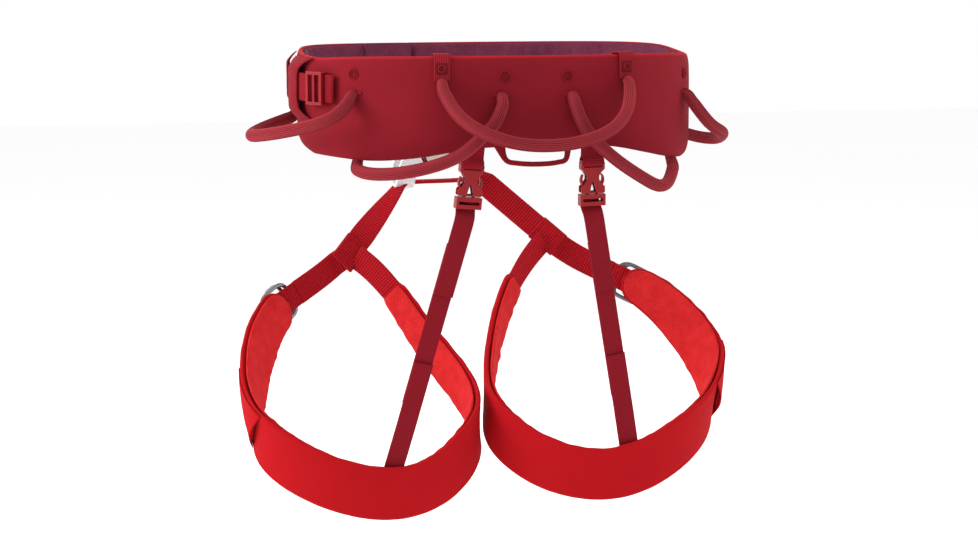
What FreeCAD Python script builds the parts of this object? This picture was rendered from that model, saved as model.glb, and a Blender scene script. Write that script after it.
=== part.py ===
"""Sit harness in its worn shape: padded waistbelt, five gear loops, belay loop, two adjustable leg loops
and two rear elastic straps with side-release buckles.

Frame: origin at the centre of the waist opening, +X to the wearer's right, +Y forwards, +Z up, millimetres.
"""
import FreeCAD, Part

import math
import os

import Sketcher
from FreeCAD import Matrix, Placement, Rotation, Vector

# ---------------------------------------------------------------- driving dimensions (millimetres)
DIMENSIONS = {
    "side_radius": 99.0,  # four-centre oval of the waistbelt's outer surface: the hip arcs
    "back_radius": 400.0,  # and the flat arcs across the back and the front
    "half_depth": 103.0,
    "belt_top": 39.6,
    "belt_low": -43.0,
    "shell_thick": 1.5,
    "foam_thick": 4.5,
    "lining_thick": 1.2,
    "layer_gap": 0.3,
    "edge_inset": 1.2,  # how far foam and lining stop short of the shell's edges
    "web_width": 20.0,  # waist webbing
    "web_thick": 2.0,
    "web_mid_height": 12.0,
    "loop_radius": 4.6,  # gear-loop cord
    "haul_radius": 1.9,
    "leg_web_width": 19.0,
    "leg_web_thick": 2.2,
    "elastic_width": 14.8,
    "elastic_thick": 1.6,
    "buckle_depth": 6.8,
    "plate_thick": 1.5,
    "female_height": 23.4,
    "male_height": 9.2,
    "tab_length": 5.8,
    "frame_thick": 2.2,  # metal buckle frames
    "belay_width": 15.0,
    "belay_thick": 3.2,
    "belay_length": 88.0,
    "belay_depth": 24.0,
}

doc = FreeCAD.newDocument("sit_harness")
sheet = doc.addObject("Spreadsheet::Sheet", "dims")
for row, (alias, value) in enumerate(DIMENSIONS.items(), start=1):
    sheet.set(f"A{row}", alias)
    sheet.set(f"B{row}", str(value))
    sheet.setAlias(f"B{row}", alias)
doc.recompute()


def dim(alias):
    return float(getattr(sheet, alias))


SIDE_CENTRE = math.sqrt((dim("back_radius") - dim("side_radius")) ** 2
                        - (dim("back_radius") - dim("half_depth")) ** 2)
BACK_CENTRE = dim("back_radius") - dim("half_depth")
SIDE_ANGLE = math.degrees(math.atan2(BACK_CENTRE, SIDE_CENTRE))
NODES = {}  # node name: document object


# ---------------------------------------------------------------- helpers: sketches and features
def new_body(label):
    body = doc.addObject("PartDesign::Body", label + "_body")
    body.Label = label
    return body


def node(thing, label):
    """Register a finished object as the node that its label names."""
    thing.Label = label
    NODES[label] = thing
    return thing


def sketch_on(body, role, lift=0.0):
    sketch = body.newObject("Sketcher::SketchObject", body.Label + "_sketch")
    plane = [item for item in body.Origin.OriginFeatures if item.Role == role][0]
    sketch.AttachmentSupport = [(plane, "")]
    sketch.MapMode = "FlatFace"
    sketch.AttachmentOffset = Placement(Vector(0, 0, lift), Rotation())
    return sketch


def add_polygon(sketch, points):
    corners = [Vector(x, y, 0) for x, y in points]
    for start, end in zip(corners, corners[1:] + corners[:1]):
        sketch.addGeometry(Part.LineSegment(start, end), False)


def add_oval(sketch, offset):
    """Four arcs of the belt's oval, moved inwards by offset, with their radii bound to the sheet."""
    side = dim("side_radius") - offset
    back = dim("back_radius") - offset
    arcs = [
        (SIDE_CENTRE, 0, "side_radius", side, -SIDE_ANGLE, SIDE_ANGLE),
        (0, -BACK_CENTRE, "back_radius", back, SIDE_ANGLE, 180 - SIDE_ANGLE),
        (-SIDE_CENTRE, 0, "side_radius", side, 180 - SIDE_ANGLE, 180 + SIDE_ANGLE),
        (0, BACK_CENTRE, "back_radius", back, 180 + SIDE_ANGLE, 360 - SIDE_ANGLE),
    ]
    for x, y, alias, radius, start, end in arcs:
        circle = Part.Circle(Vector(x, y, 0), Vector(0, 0, 1), radius)
        arc = Part.ArcOfCircle(circle, math.radians(start), math.radians(end))
        index = sketch.addGeometry(arc, False)
        bound = sketch.addConstraint(Sketcher.Constraint("Radius", index, radius))
        sketch.setExpression(f"Constraints[{bound}]", f"dims.{alias} - {offset}")


def extrude(body, kind, sketch, length, symmetric=False, backwards=False):
    """Pad or Pocket of a sketch; length is a number or an expression."""
    feature = body.newObject("PartDesign::" + kind, body.Label + "_" + kind.lower())
    feature.Profile = sketch
    if isinstance(length, str):
        feature.setExpression("Length", length)
    else:
        feature.Length = length
    if symmetric:
        feature.SideType = "Symmetric"
    feature.Reversed = backwards
    return feature


def padded_polygon(label, points, length, role="XZ_Plane"):
    body = new_body(label)
    sketch = sketch_on(body, role)
    add_polygon(sketch, points)
    extrude(body, "Pad", sketch, length, symmetric=True)
    return body


def cut_polygons(body, polygons, length=60.0, role="XZ_Plane"):
    for points in polygons:
        sketch = sketch_on(body, role)
        add_polygon(sketch, points)
        extrude(body, "Pocket", sketch, length, symmetric=True)


def box_points(x0, x1, y0, y1):
    return [(x0, y0), (x1, y0), (x1, y1), (x0, y1)]


def turned(origin, along_x, along_z):
    """Placement whose local Z is along_z and whose local X is as near to along_x as it can be."""
    z = Vector(along_z).normalize()
    x = Vector(along_x) - z * Vector(along_x).dot(z)
    x.normalize()
    y = z.cross(x)
    matrix = Matrix(x.x, y.x, z.x, origin.x, x.y, y.y, z.y, origin.y, x.z, y.z, z.z, origin.z, 0, 0, 0, 1)
    return Placement(matrix)


def feature_from(label, shape):
    thing = doc.addObject("Part::Feature", label + "_shape")
    thing.Shape = shape
    return node(thing, label)


# ---------------------------------------------------------------- helpers: belt sectors
def oval_normal(x, y):
    """Outward normal of the oval at a point near its surface, seen from above."""
    centre = Vector(math.copysign(SIDE_CENTRE, x), 0, 0)
    from_side = Vector(x, y, 0) - centre
    if abs(math.atan2(from_side.y, abs(from_side.x) * (1 if abs(x) > SIDE_CENTRE else -1))) < math.radians(
            SIDE_ANGLE):
        return from_side.normalize()
    return (Vector(x, y, 0) - Vector(0, math.copysign(BACK_CENTRE, -y), 0)).normalize()


def on_belt(x, side, height, proud=0.0):
    """Point on the back (side -1) or front (side +1) of the belt at a given X, stood off by proud."""
    if abs(x) < dim("back_radius") * math.cos(math.radians(SIDE_ANGLE)):
        y = side * (math.sqrt(dim("back_radius") ** 2 - x * x) - BACK_CENTRE)
    else:
        y = side * math.sqrt(dim("side_radius") ** 2 - (abs(x) - SIDE_CENTRE) ** 2)
    normal = oval_normal(x, y)
    return Vector(x, y, height) + normal * proud


def belt_frame(point, proud=0.0):
    """Local X along the belt, local Y outwards, local Z up, at a point on the belt."""
    normal = oval_normal(point.x, point.y)
    place = turned(point + normal * proud, normal.cross(Vector(0, 0, 1)), Vector(0, 0, 1))
    return place


def oval_ring(label, inner, outer, low, high):
    """Upright ring between two offsets of the oval; a negative offset stands outside the belt."""
    body = new_body(label)
    sketch = sketch_on(body, "XY_Plane", low)
    add_oval(sketch, outer)
    add_oval(sketch, inner)
    extrude(body, "Pad", sketch, high - low)
    return body


def oval_sector(label, inner, outer, low, high, x_range, y_range):
    """Part of an oval ring inside a rectangle seen from above."""
    ring = oval_ring(label + "_ring", inner, outer, low, high)
    window = doc.addObject("Part::Box", label + "_window")
    window.Length = x_range[1] - x_range[0]
    window.Width = y_range[1] - y_range[0]
    window.Height = high - low + 2
    window.Placement = Placement(Vector(x_range[0], y_range[0], low - 1), Rotation())
    common = doc.addObject("Part::Common", label + "_common")
    common.Base = ring
    common.Tool = window
    return node(common, label)


# ---------------------------------------------------------------- helpers: cords and bands
def rounded_route(points):
    """Straight runs joined by tangent arcs, each as large as its two runs allow."""
    points = [Vector(*point) for point in points]
    edges = []
    start = points[0]
    for before, corner, after in zip(points, points[1:], points[2:]):
        back = (before - corner).normalize()
        ahead = (after - corner).normalize()
        trim = 0.45 * min((before - corner).Length, (after - corner).Length)
        turn = math.pi - back.getAngle(ahead)
        radius = trim / math.tan(turn / 2)
        entry = corner + back * trim
        leave = corner + ahead * trim
        bisector = (back + ahead).normalize()
        middle = corner + bisector * (radius / math.cos(turn / 2) - radius)
        if (entry - start).Length > 1e-6:
            edges.append(Part.LineSegment(start, entry).toShape())
        edges.append(Part.Arc(entry, middle, leave).toShape())
        start = leave
    edges.append(Part.LineSegment(start, points[-1]).toShape())
    return Part.Wire(edges)


def cord(label, points, radius):
    """Round cord along a route, with a ball at each end, centred on the end point."""
    route = rounded_route(points)
    start = Vector(*points[0])
    section = Part.Wire(Part.makeCircle(radius, start, Vector(*points[1]) - start))
    tube = route.makePipeShell([section], True, True)
    if abs(tube.Volume - math.pi * radius ** 2 * route.Length) > 0.01 * tube.Volume:
        raise RuntimeError(f"{label}: the tube's volume is not its section times its length")
    balls = [Part.makeSphere(radius, Vector(*end)) for end in (points[0], points[-1])]
    return feature_from(label, tube.fuse(balls).removeSplitter())


def between(stops):
    """Piecewise linear function through (distance, value) stops."""
    def value(distance):
        for (d0, v0), (d1, v1) in zip(stops, stops[1:]):
            if distance <= d1:
                return v0 + (v1 - v0) * max(0.0, distance - d0) / (d1 - d0)
        return stops[-1][1]
    return value


class Band:
    """Flat band that follows a curve round an upright axis, such as a leg loop round a thigh.

    leans are degrees by which the lower edge turns inwards, one for each point of the curve.
    """

    def __init__(self, points, leans, axis=Vector(0, 0, 1)):
        self.points = [Vector(*point) for point in points]
        self.curve = Part.BSplineCurve()
        self.curve.interpolate(self.points)
        self.axis = axis
        self.length = self.curve.length()
        total = Vector(0, 0, 0)
        for point in self.points:
            total = total + point
        self.centre = total * (1.0 / len(self.points))
        self.lean = between([(self.distance(index), lean) for index, lean in enumerate(leans)])

    def distance(self, index):
        """Distance along the curve to the numbered point."""
        end = self.curve.parameter(self.points[index])
        if index == len(self.points) - 1:
            return self.length
        if index == 0:
            return 0.0
        return self.curve.length(self.curve.FirstParameter, end)

    def frame(self, distance):
        """Point, tangent, width direction and outward normal at a distance along the curve."""
        where = self.curve.parameterAtDistance(distance, self.curve.FirstParameter)
        point = self.curve.value(where)
        tangent = Vector(*self.curve.tangent(where)[0]).normalize()
        across = (self.axis - tangent * self.axis.dot(tangent)).normalize()
        normal = tangent.cross(across)
        if normal.dot(point - self.centre) < 0:
            normal = normal * -1
        lean = math.radians(self.lean(distance))
        leaning = across * math.cos(lean) + normal * math.sin(lean)
        normal = normal * math.cos(lean) - across * math.sin(lean)
        return point, tangent, leaning, normal

    def solid(self, start, end, low, high, width_at, count=8):
        """Loft of rectangular sections from start to end, between two standings from the mid-surface."""
        sections = []
        for step in range(count):
            distance = start + (end - start) * step / (count - 1)
            point, tangent, across, normal = self.frame(distance)
            half = across * (width_at(distance) / 2)
            corners = [point - half + normal * low, point + half + normal * low,
                       point + half + normal * high, point - half + normal * high]
            sections.append(Part.makePolygon(corners + corners[:1]))
        return Part.makeLoft(sections, True, False)

    def place(self, distance, standing):
        """Placement with local X along the band, local Z across it and the origin stood off its mid-surface."""
        point, tangent, across, normal = self.frame(distance)
        return turned(point + normal * standing, tangent, across)


def strip(label, start, end, width_direction, width, thick):
    """Straight flat strip of webbing between two points."""
    along = end - start
    across = width_direction - along * (width_direction.dot(along) / along.dot(along))
    box = Part.makeBox(thick, width, along.Length, Vector(-thick / 2, -width / 2, 0))
    thing = feature_from(label, box)
    x = Vector(across).normalize().cross(Vector(along).normalize())
    thing.Placement = turned(start, x, along)
    return thing


# ---------------------------------------------------------------- waistbelt: shell, foam and lining
FRONT_JOIN = -42.0  # where the belt's two ends meet in front
# (Y, Z) of the belt's lower and upper edges, seen from the side
BELT_BOTTOM = [(-125, -42.0), (-92, -42.0), (-61, -41.4), (-30, -37.0), (0, -31.0), (29, -25.0), (60, -18.0),
               (125, -14.0)]
BELT_TOP = [(-125, 36.0), (-92, 36.0), (-61, 35.0), (-29, 33.5), (0, 35.0), (29, 38.3), (60, 39.3), (125, 38.6)]
# (X, Z) of the lower edge seen from behind, which arches over the spine
BACK_ARCH = [(-152, -35.0), (-135, -37.0), (-120, -38.2), (-105, -37.8), (-80, -35.0), (-45, -29.4), (0, -28.4),
             (45, -28.8), (62, -30.2), (90, -35.5), (110, -39.5), (125, -41.3), (152, -41.8)]


def belt_layer(label, inner, outer, inset):
    """One layer of the belt: an oval ring, deeper at the back than in front, with an arch over the spine."""
    low, high = dim("belt_low"), dim("belt_top") - inset
    body = oval_ring(label, outer, inner, low, high)
    for heights, rise, far in ((BELT_BOTTOM, inset, -60), (BELT_TOP, -inset, 60)):
        side = sketch_on(body, "YZ_Plane")
        edge = Part.BSplineCurve()
        edge.interpolate([Vector(y, z + rise, 0) for y, z in heights])
        side.addGeometry(edge, False)
        corners = [(125, heights[-1][1] + rise), (125, far), (-125, far), (-125, heights[0][1] + rise)]
        for start, end in zip(corners, corners[1:]):
            side.addGeometry(Part.LineSegment(Vector(*start, 0), Vector(*end, 0)), False)
        extrude(body, "Pocket", side, 400.0, symmetric=True)
    back = sketch_on(body, "XZ_Plane")
    edge = Part.BSplineCurve()
    edge.interpolate([Vector(x, z + inset, 0) for x, z in BACK_ARCH])
    back.addGeometry(edge, False)
    corners = [(152, BACK_ARCH[-1][1] + inset), (152, -60), (-152, -60), (-152, BACK_ARCH[0][1] + inset)]
    for start, end in zip(corners, corners[1:]):
        back.addGeometry(Part.LineSegment(Vector(*start, 0), Vector(*end, 0)), False)
    extrude(body, "Pocket", back, 400.0, symmetric=True)
    slit = sketch_on(body, "XY_Plane")
    add_polygon(slit, box_points(FRONT_JOIN - 0.4, FRONT_JOIN + 0.4, 60, 120))
    extrude(body, "Pocket", slit, 200.0, symmetric=True)
    return node(body, label)


gap = dim("layer_gap")
shell_in = dim("shell_thick")
foam_out = shell_in + gap
foam_in = foam_out + dim("foam_thick")
lining_out = foam_in + gap
lining_in = lining_out + dim("lining_thick")
belt_layer("belt_outer_shell", shell_in, 0.0, 0.0)
belt_layer("belt_foam_core", foam_in, foam_out, dim("edge_inset"))
belt_layer("belt_mesh_lining", lining_in, lining_out, dim("edge_inset"))
oval_sector("belt_end_flap", lining_in + 1.6, lining_in + 0.3, -10.0, 40.4, (-80.0, FRONT_JOIN), (40.0, 120.0))

# ---------------------------------------------------------------- waist webbing, its buckle and its tail
web_low = dim("web_mid_height") - dim("web_width") / 2
web_high = dim("web_mid_height") + dim("web_width") / 2
web_in = -0.4
web_out = web_in - dim("web_thick")
oval_sector("waist_webbing", web_in, web_out, web_low, web_high, (-58.0, 152.0), (20.0, 120.0))
oval_sector("waist_buckle_webbing", web_in, web_out, web_low, web_high, (-130.0, -90.0), (20.0, 120.0))
oval_sector("waist_strap_tail", web_out - 0.4, web_out - 0.4 - 1.6, web_low, web_high, (-160.0, -92.0),
            (-52.0, 90.0))
oval_sector("hip_strap_keeper", -6.0, -7.2, -12.0, 33.4, (-160.0, -120.0), (-12.0, 14.0))
oval_sector("front_strap_keeper", -6.0, -7.2, -4.0, 36.0, (-160.0, -120.0), (22.0, 36.0))


def metal_frame(label, length, height, bar, place):
    """Rectangular metal frame: length along the strap, height across it, one opening."""
    body = padded_polygon(label, box_points(-length / 2, length / 2, -height / 2, height / 2), "dims.frame_thick")
    inner = box_points(-length / 2 + bar, length / 2 - bar, -height / 2 + 3.2, height / 2 - 3.2)
    cut_polygons(body, [inner])
    body.Placement = place
    return node(body, label)


BUCKLE_X = -75.0
buckle_point = on_belt(BUCKLE_X, 1, dim("web_mid_height"))
metal_frame("waist_buckle_frame", 30.0, 30.0, 4.5, belt_frame(buckle_point, 6.4))
metal_frame("waist_buckle_tilt_bar", 20.0, 30.0, 4.0, belt_frame(buckle_point, 9.7))

# slider that parks the end of the waist strap on the left hip
SLIDER_Y = -37.0
slider_length, slider_height = 19.0, 23.6
slider_point = Vector(-SIDE_CENTRE - math.sqrt(dim("side_radius") ** 2 - SLIDER_Y ** 2), SLIDER_Y,
                      dim("web_mid_height"))
slider = padded_polygon("strap_slider", box_points(-slider_length / 2, slider_length / 2, -slider_height / 2,
                                                   slider_height / 2), 5.4)
bars = [box_points(-6.8, -1.0, -9.6, 9.6), box_points(1.0, 6.8, -9.6, 9.6)]
cut_polygons(slider, bars)
channel = sketch_on(slider, "YZ_Plane")
add_polygon(channel, box_points(-10.0, 0.7, -10.4, 10.4))
extrude(slider, "Pocket", channel, 40.0, symmetric=True)
slider.Placement = belt_frame(slider_point, 4.6)
node(slider, "strap_slider")

# ---------------------------------------------------------------- stitched rings and folded tabs
RINGS = [(23.5, -1, 21.5), (-23.5, -1, 21.5), (127.5, -1, 20.0), (-124.0, -1, 23.0)]
rings = []
for number, (x, side, height) in enumerate(RINGS):
    ring = doc.addObject("Part::Torus", f"stitch_ring_{number}")
    ring.Radius1 = 3.1
    ring.Radius2 = 0.5
    place = on_belt(x, side, height, 0.62)
    ring.Placement = turned(place, Vector(0, 0, 1), oval_normal(place.x, place.y))
    rings.append(ring)
group = doc.addObject("Part::Compound", "stitch_rings_group")
group.Links = rings
node(group, "stitched_anchor_rings")

CENTRE_LOOP_X = 68.5
TAB_PROUD = 1.6
tabs = []
for name, sign in (("left", -1), ("right", 1)):
    fold = [(0.3, 19.0), (TAB_PROUD, 19.0), (TAB_PROUD, 37.6), (-11.0, 37.6), (-11.0, 24.0), (-9.7, 24.0),
            (-9.7, 36.3), (0.3, 36.3)]
    tab = padded_polygon(f"{name}_centre_loop_tab", fold, 9.6, "YZ_Plane")
    tab.Placement = belt_frame(on_belt(sign * CENTRE_LOOP_X, -1, 0.0))
    tabs.append(tab)
group = doc.addObject("Part::Compound", "centre_loop_tabs_group")
group.Links = tabs
node(group, "centre_loop_tabs")

# ---------------------------------------------------------------- gear loops and haul loop
loop_off = dim("loop_radius") + 0.6  # from the belt's surface to the cord's centre line
left_hip = on_belt(-124.0, -1, 4.5, loop_off)
left_front = on_belt(-135.0, 1, -13.0, loop_off)
cord("left_front_gear_loop", [
    left_hip, (-136, -79, -3), (-152, -80, -11), (-175, -57, -18), (-188, -18, -23), (-182, 10, -23),
    (-165, 34, -19), left_front], dim("loop_radius"))
right_hip = on_belt(127.5, -1, 1.5, loop_off)
right_front = on_belt(135.0, 1, -14.0, loop_off)
cord("right_front_gear_loop", [
    right_hip, (139, -68, -10), (150, -60, -19), (163, -45, -24), (175, -22, -28), (181, 6, -34),
    (173, 30, -34), (153, 48, -26), right_front], dim("loop_radius"))
left_back = on_belt(-26.0, -1, 3.5, loop_off)
left_low = Vector(-122, -62, -43.6)
cord("left_rear_gear_loop", [
    left_back, (-30, -109, -8), (-42, -110, -20), (-60, -113, -34), (-85, -111, -42), (-109, -97, -46.5),
    (-123.5, -77, -46), left_low], dim("loop_radius"))
right_back = on_belt(26.0, -1, 3.5, loop_off)
right_low = Vector(117, -68, -46.2)
cord("right_rear_gear_loop", [
    right_back, (30, -109, -9), (39, -110, -23), (57, -112, -39), (78, -108, -52), (94, -101, -60),
    (108, -86, -57), right_low], dim("loop_radius"))
centre_off = TAB_PROUD + 0.4 + dim("loop_radius")
centre_points = [(-67, -110, 4), (-60, -117, -7), (-46, -124, -17), (-23, -127, -24.5), (0, -128, -26.5),
                 (25, -127, -24.5), (49, -124, -17), (62, -117, -6), (67.5, -110, 4)]
centre_ends = [on_belt(sign * CENTRE_LOOP_X, -1, 13.5, centre_off) for sign in (-1, 1)]
cord("centre_gear_loop", [centre_ends[0], *centre_points, centre_ends[1]], dim("loop_radius"))
cord("haul_loop", [(-25, -101, -34.9), (-23, -105, -37.6), (-16, -108, -39.4), (-1, -110, -40.2),
                   (14, -108, -39.4), (21, -105, -37.6), (23, -101, -34.9)], dim("haul_radius"))

# ---------------------------------------------------------------- front: tie-in loop, belay loop, bridge
BRIDGE_Y, BRIDGE_Z = 117.0, -70.8
TIE_Y, TIE_Z = 119.0, -28.0
tie_points = [(-30, 104.8 + 2.4, -12), (-29, 108, -21), (-24, 115, TIE_Z), (-10, TIE_Y, TIE_Z), (10, TIE_Y, TIE_Z),
              (24, 115, TIE_Z), (29, 108, -21), (30, 104.8 + 2.4, -12)]
cord("waist_tie_in_loop", tie_points, 2.4)
bridge = doc.addObject("Part::Box", "bridge_box")
bridge.Length = 56.5
bridge.Width = 12.0
bridge.Height = 2.4
bridge.Placement = Placement(Vector(-36.5, BRIDGE_Y - 6, BRIDGE_Z - 1.2), Rotation())
node(bridge, "leg_bridge_webbing")


def stadium(sketch, length, depth):
    """Closed slot outline of a length and a depth, centred on the sketch's origin."""
    radius = depth / 2
    reach = length / 2 - radius
    for sign, start in ((1, -90), (-1, 90)):
        circle = Part.Circle(Vector(sign * reach, 0, 0), Vector(0, 0, 1), radius)
        arc = Part.ArcOfCircle(circle, math.radians(start), math.radians(start + 180))
        sketch.addGeometry(arc, False)
        sketch.addGeometry(Part.LineSegment(Vector(reach, sign * radius, 0), Vector(-reach, sign * radius, 0)),
                           False)


belay = new_body("belay_loop")
outline = sketch_on(belay, "XY_Plane")
stadium(outline, dim("belay_length"), dim("belay_depth"))
stadium(outline, dim("belay_length") - 2 * dim("belay_thick"), dim("belay_depth") - 2 * dim("belay_thick"))
extrude(belay, "Pad", outline, "dims.belay_width", symmetric=True)
belay.Placement = turned(Vector(-18, 119, -47), Vector(1, 0, 1), Vector(1, 0, -1))
node(belay, "belay_loop")
sleeve = new_body("belay_loop_sleeve")
outline = sketch_on(sleeve, "XY_Plane")
half = dim("belay_depth") / 2
add_polygon(outline, box_points(-13, 13, half + 0.2, half + 1.5))
extrude(sleeve, "Pad", outline, dim("belay_width") + 1, symmetric=True)
sleeve.Placement = belay.Placement
node(sleeve, "belay_loop_sleeve")


# ---------------------------------------------------------------- rear straps and their buckles
def female_buckle(label, place):
    """Buckle half with two plates, open sides for the arms, a slot and bar for the tab, a pointed window."""
    top = dim("female_height")
    right = [(8.4, 0), (9.0, 0.7), (9.0, 4.6), (6.2, 7.4), (4.6, 10.0), (4.6, 12.6), (6.6, 15.4), (8.8, 17.2),
             (8.8, top - 1.4), (7.8, top)]
    outline = right + [(-x, z) for x, z in reversed(right)]
    body = padded_polygon(label, outline, "dims.buckle_depth")
    cut_polygons(body, [[(-2.3, 1.2), (2.3, 1.2), (0.5, 8.2), (-0.5, 8.2)], box_points(-6.6, 6.6, 18.9, 20.6)])
    cavity = sketch_on(body, "YZ_Plane")
    half = dim("buckle_depth") / 2 - dim("plate_thick")
    add_polygon(cavity, box_points(-half, half, -1.0, 15.2))
    extrude(body, "Pocket", cavity, 40.0, symmetric=True)
    body.Placement = place
    return node(body, label)


def male_buckle(label, place):
    """Buckle half with a strap slot and two guide rails."""
    low = -dim("male_height")
    outline = [(9.4, low), (9.4, -0.9), (4.1, -0.9), (4.1, 11.0), (2.9, 11.0), (2.9, -0.9)]
    block = outline + [(-x, z) for x, z in reversed(outline)]
    body = padded_polygon(label, block, "dims.buckle_depth")
    cut_polygons(body, [box_points(-7.6, 7.6, low + 3.0, low + 5.2)])
    front_room = sketch_on(body, "YZ_Plane")
    half = dim("buckle_depth") / 2 - dim("plate_thick") - 0.2
    add_polygon(front_room, box_points(half, 10.0, -0.8, 20.0))
    extrude(body, "Pocket", front_room, 40.0, symmetric=True)
    rear_room = sketch_on(body, "YZ_Plane")
    add_polygon(rear_room, box_points(-10.0, -half, -0.8, 20.0))
    extrude(body, "Pocket", rear_room, 40.0, symmetric=True)
    body.Placement = place
    return node(body, label)


def buckle_arm(label, sign, place):
    """Thin spring arm that bows outwards to a thumb rest, standing inside the female half."""
    pad = [(4.4, 0.0), (6.2, 0.0), (7.0, 4.6), (8.5, 6.4), (9.1, 8.8), (8.8, 11.4), (7.6, 13.6), (6.6, 13.6),
           (7.4, 10.8), (7.3, 8.8), (6.2, 6.2), (5.2, 3.0)]
    thick = dim("buckle_depth") - 2 * dim("plate_thick") - 0.4
    body = padded_polygon(label, [(sign * x, z) for x, z in pad], thick)
    body.Placement = place
    return node(body, label)


# Each side: top of the tab under the belt, bottom of the buckle, and where the elastic meets the leg pad.
STRAPS = {"left": (Vector(-45.5, -96.5, -33.8), Vector(-48.9, -94.1, -71.9), Vector(-93.0, -57.0, -260.5)),
          "right": (Vector(43.5, -96.8, -33.8), Vector(44.5, -94.1, -72.1), Vector(87.5, -57.0, -256.5))}


PAD_CLEARANCE = 7.5  # from the elastic's lower end to the route of the leg loop


def strap_layer(label, place, layer, top, bottom):
    """One layer of elastic, in front of (+1) or behind (-1) the strap's mid-surface."""
    thick = dim("elastic_thick")
    box = doc.addObject("Part::Box", label + "_box")
    box.setExpression("Length", "dims.elastic_width")
    box.setExpression("Width", "dims.elastic_thick")
    box.Height = bottom - top
    low_y = 0.2 if layer > 0 else -0.2 - thick
    box.Placement = place.multiply(Placement(Vector(-dim("elastic_width") / 2, low_y, -bottom), Rotation()))
    return node(box, label)


for side, (tab_top, bend, low_point) in STRAPS.items():
    at_top = turned(tab_top, Vector(1, 0, 0), tab_top - bend)
    mouth = dim("tab_length") + dim("female_height")
    at_mouth = at_top.multiply(Placement(Vector(0, 0, -mouth), Rotation()))
    tab = doc.addObject("Part::Box", side + "_tab_box")
    tab.Length = 15.6
    tab.Width = 1.8
    tab.Height = dim("tab_length") + 2.6
    tab.Placement = at_top.multiply(Placement(Vector(-7.8, -0.9, 3.0 - tab.Height.Value), Rotation()))
    node(tab, f"{side}_rear_tab")
    female_buckle(f"{side}_female_buckle", at_mouth)
    male_buckle(f"{side}_male_buckle", at_mouth)
    buckle_arm(f"{side}_buckle_arm_outer", -1 if side == "left" else 1, at_mouth)
    buckle_arm(f"{side}_buckle_arm_inner", 1 if side == "left" else -1, at_mouth)
    run = bend - low_point
    at_bend = turned(bend, Vector(1, 0, 0), run)
    strap_layer(f"{side}_elastic_fold", at_bend, -1, 2.2, 66.0)
    strap_layer(f"{side}_elastic_middle", at_bend, 1, 28.0, 150.0)
    strap_layer(f"{side}_elastic_end", at_bend, -1, 119.0, run.Length - PAD_CLEARANCE)

# ---------------------------------------------------------------- leg loops
# Each route runs from the front junction down the inner thigh, round the back and up the outside to the
# buckle and back to the junction.
LEGS = {
    "left": [(-89, 90, -122), (-61, 68, -151), (-41, 45, -186), (-22, 15, -217), (-21, -20, -242),
             (-56, -48, -274), (-99, -60, -281), (-154, -50, -265), (-183, -25, -241), (-184, 5, -211),
             (-171, 35, -181), (-151, 60, -160), (-124, 76, -145), (-89, 90, -122)],
    "right": [(72, 90, -114.5), (37, 68, -148), (17, 45, -177), (1, 15, -207), (-5, -20, -239),
              (25, -48, -267), (73, -60, -276), (133, -45, -258), (168, -15, -236), (178, 15, -208),
              (168, 40, -182), (146, 62, -158), (114, 78, -141), (72, 90, -114.5)],
}
LEANS = [0, 0, 0, 0, 0, 0, 0, 4, 12, 20, 22, 18, 8, 0]  # degrees: the outer side narrows downwards
CORNERS = {"left": Vector(-39.6, BRIDGE_Y, -71.5), "right": Vector(23.0, BRIDGE_Y, -69.0)}
TONGUES = {"left": (9.0, 10.0), "right": (22.0, 18.0)}  # pad end and buckle, past the route's twelfth point
PAD_WIDTHS = [21, 26, 31, 35, 38, 38.5, 38.5, 39, 38, 35, 30, 22]  # from the inner webbing to the tongue
PAD_OUT, PAD_IN, PAD_SPLIT = 3.6, -3.6, -1.4
WEBBING_START = 20.0  # from the bridge corner to the leg webbing, which folds there

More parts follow.
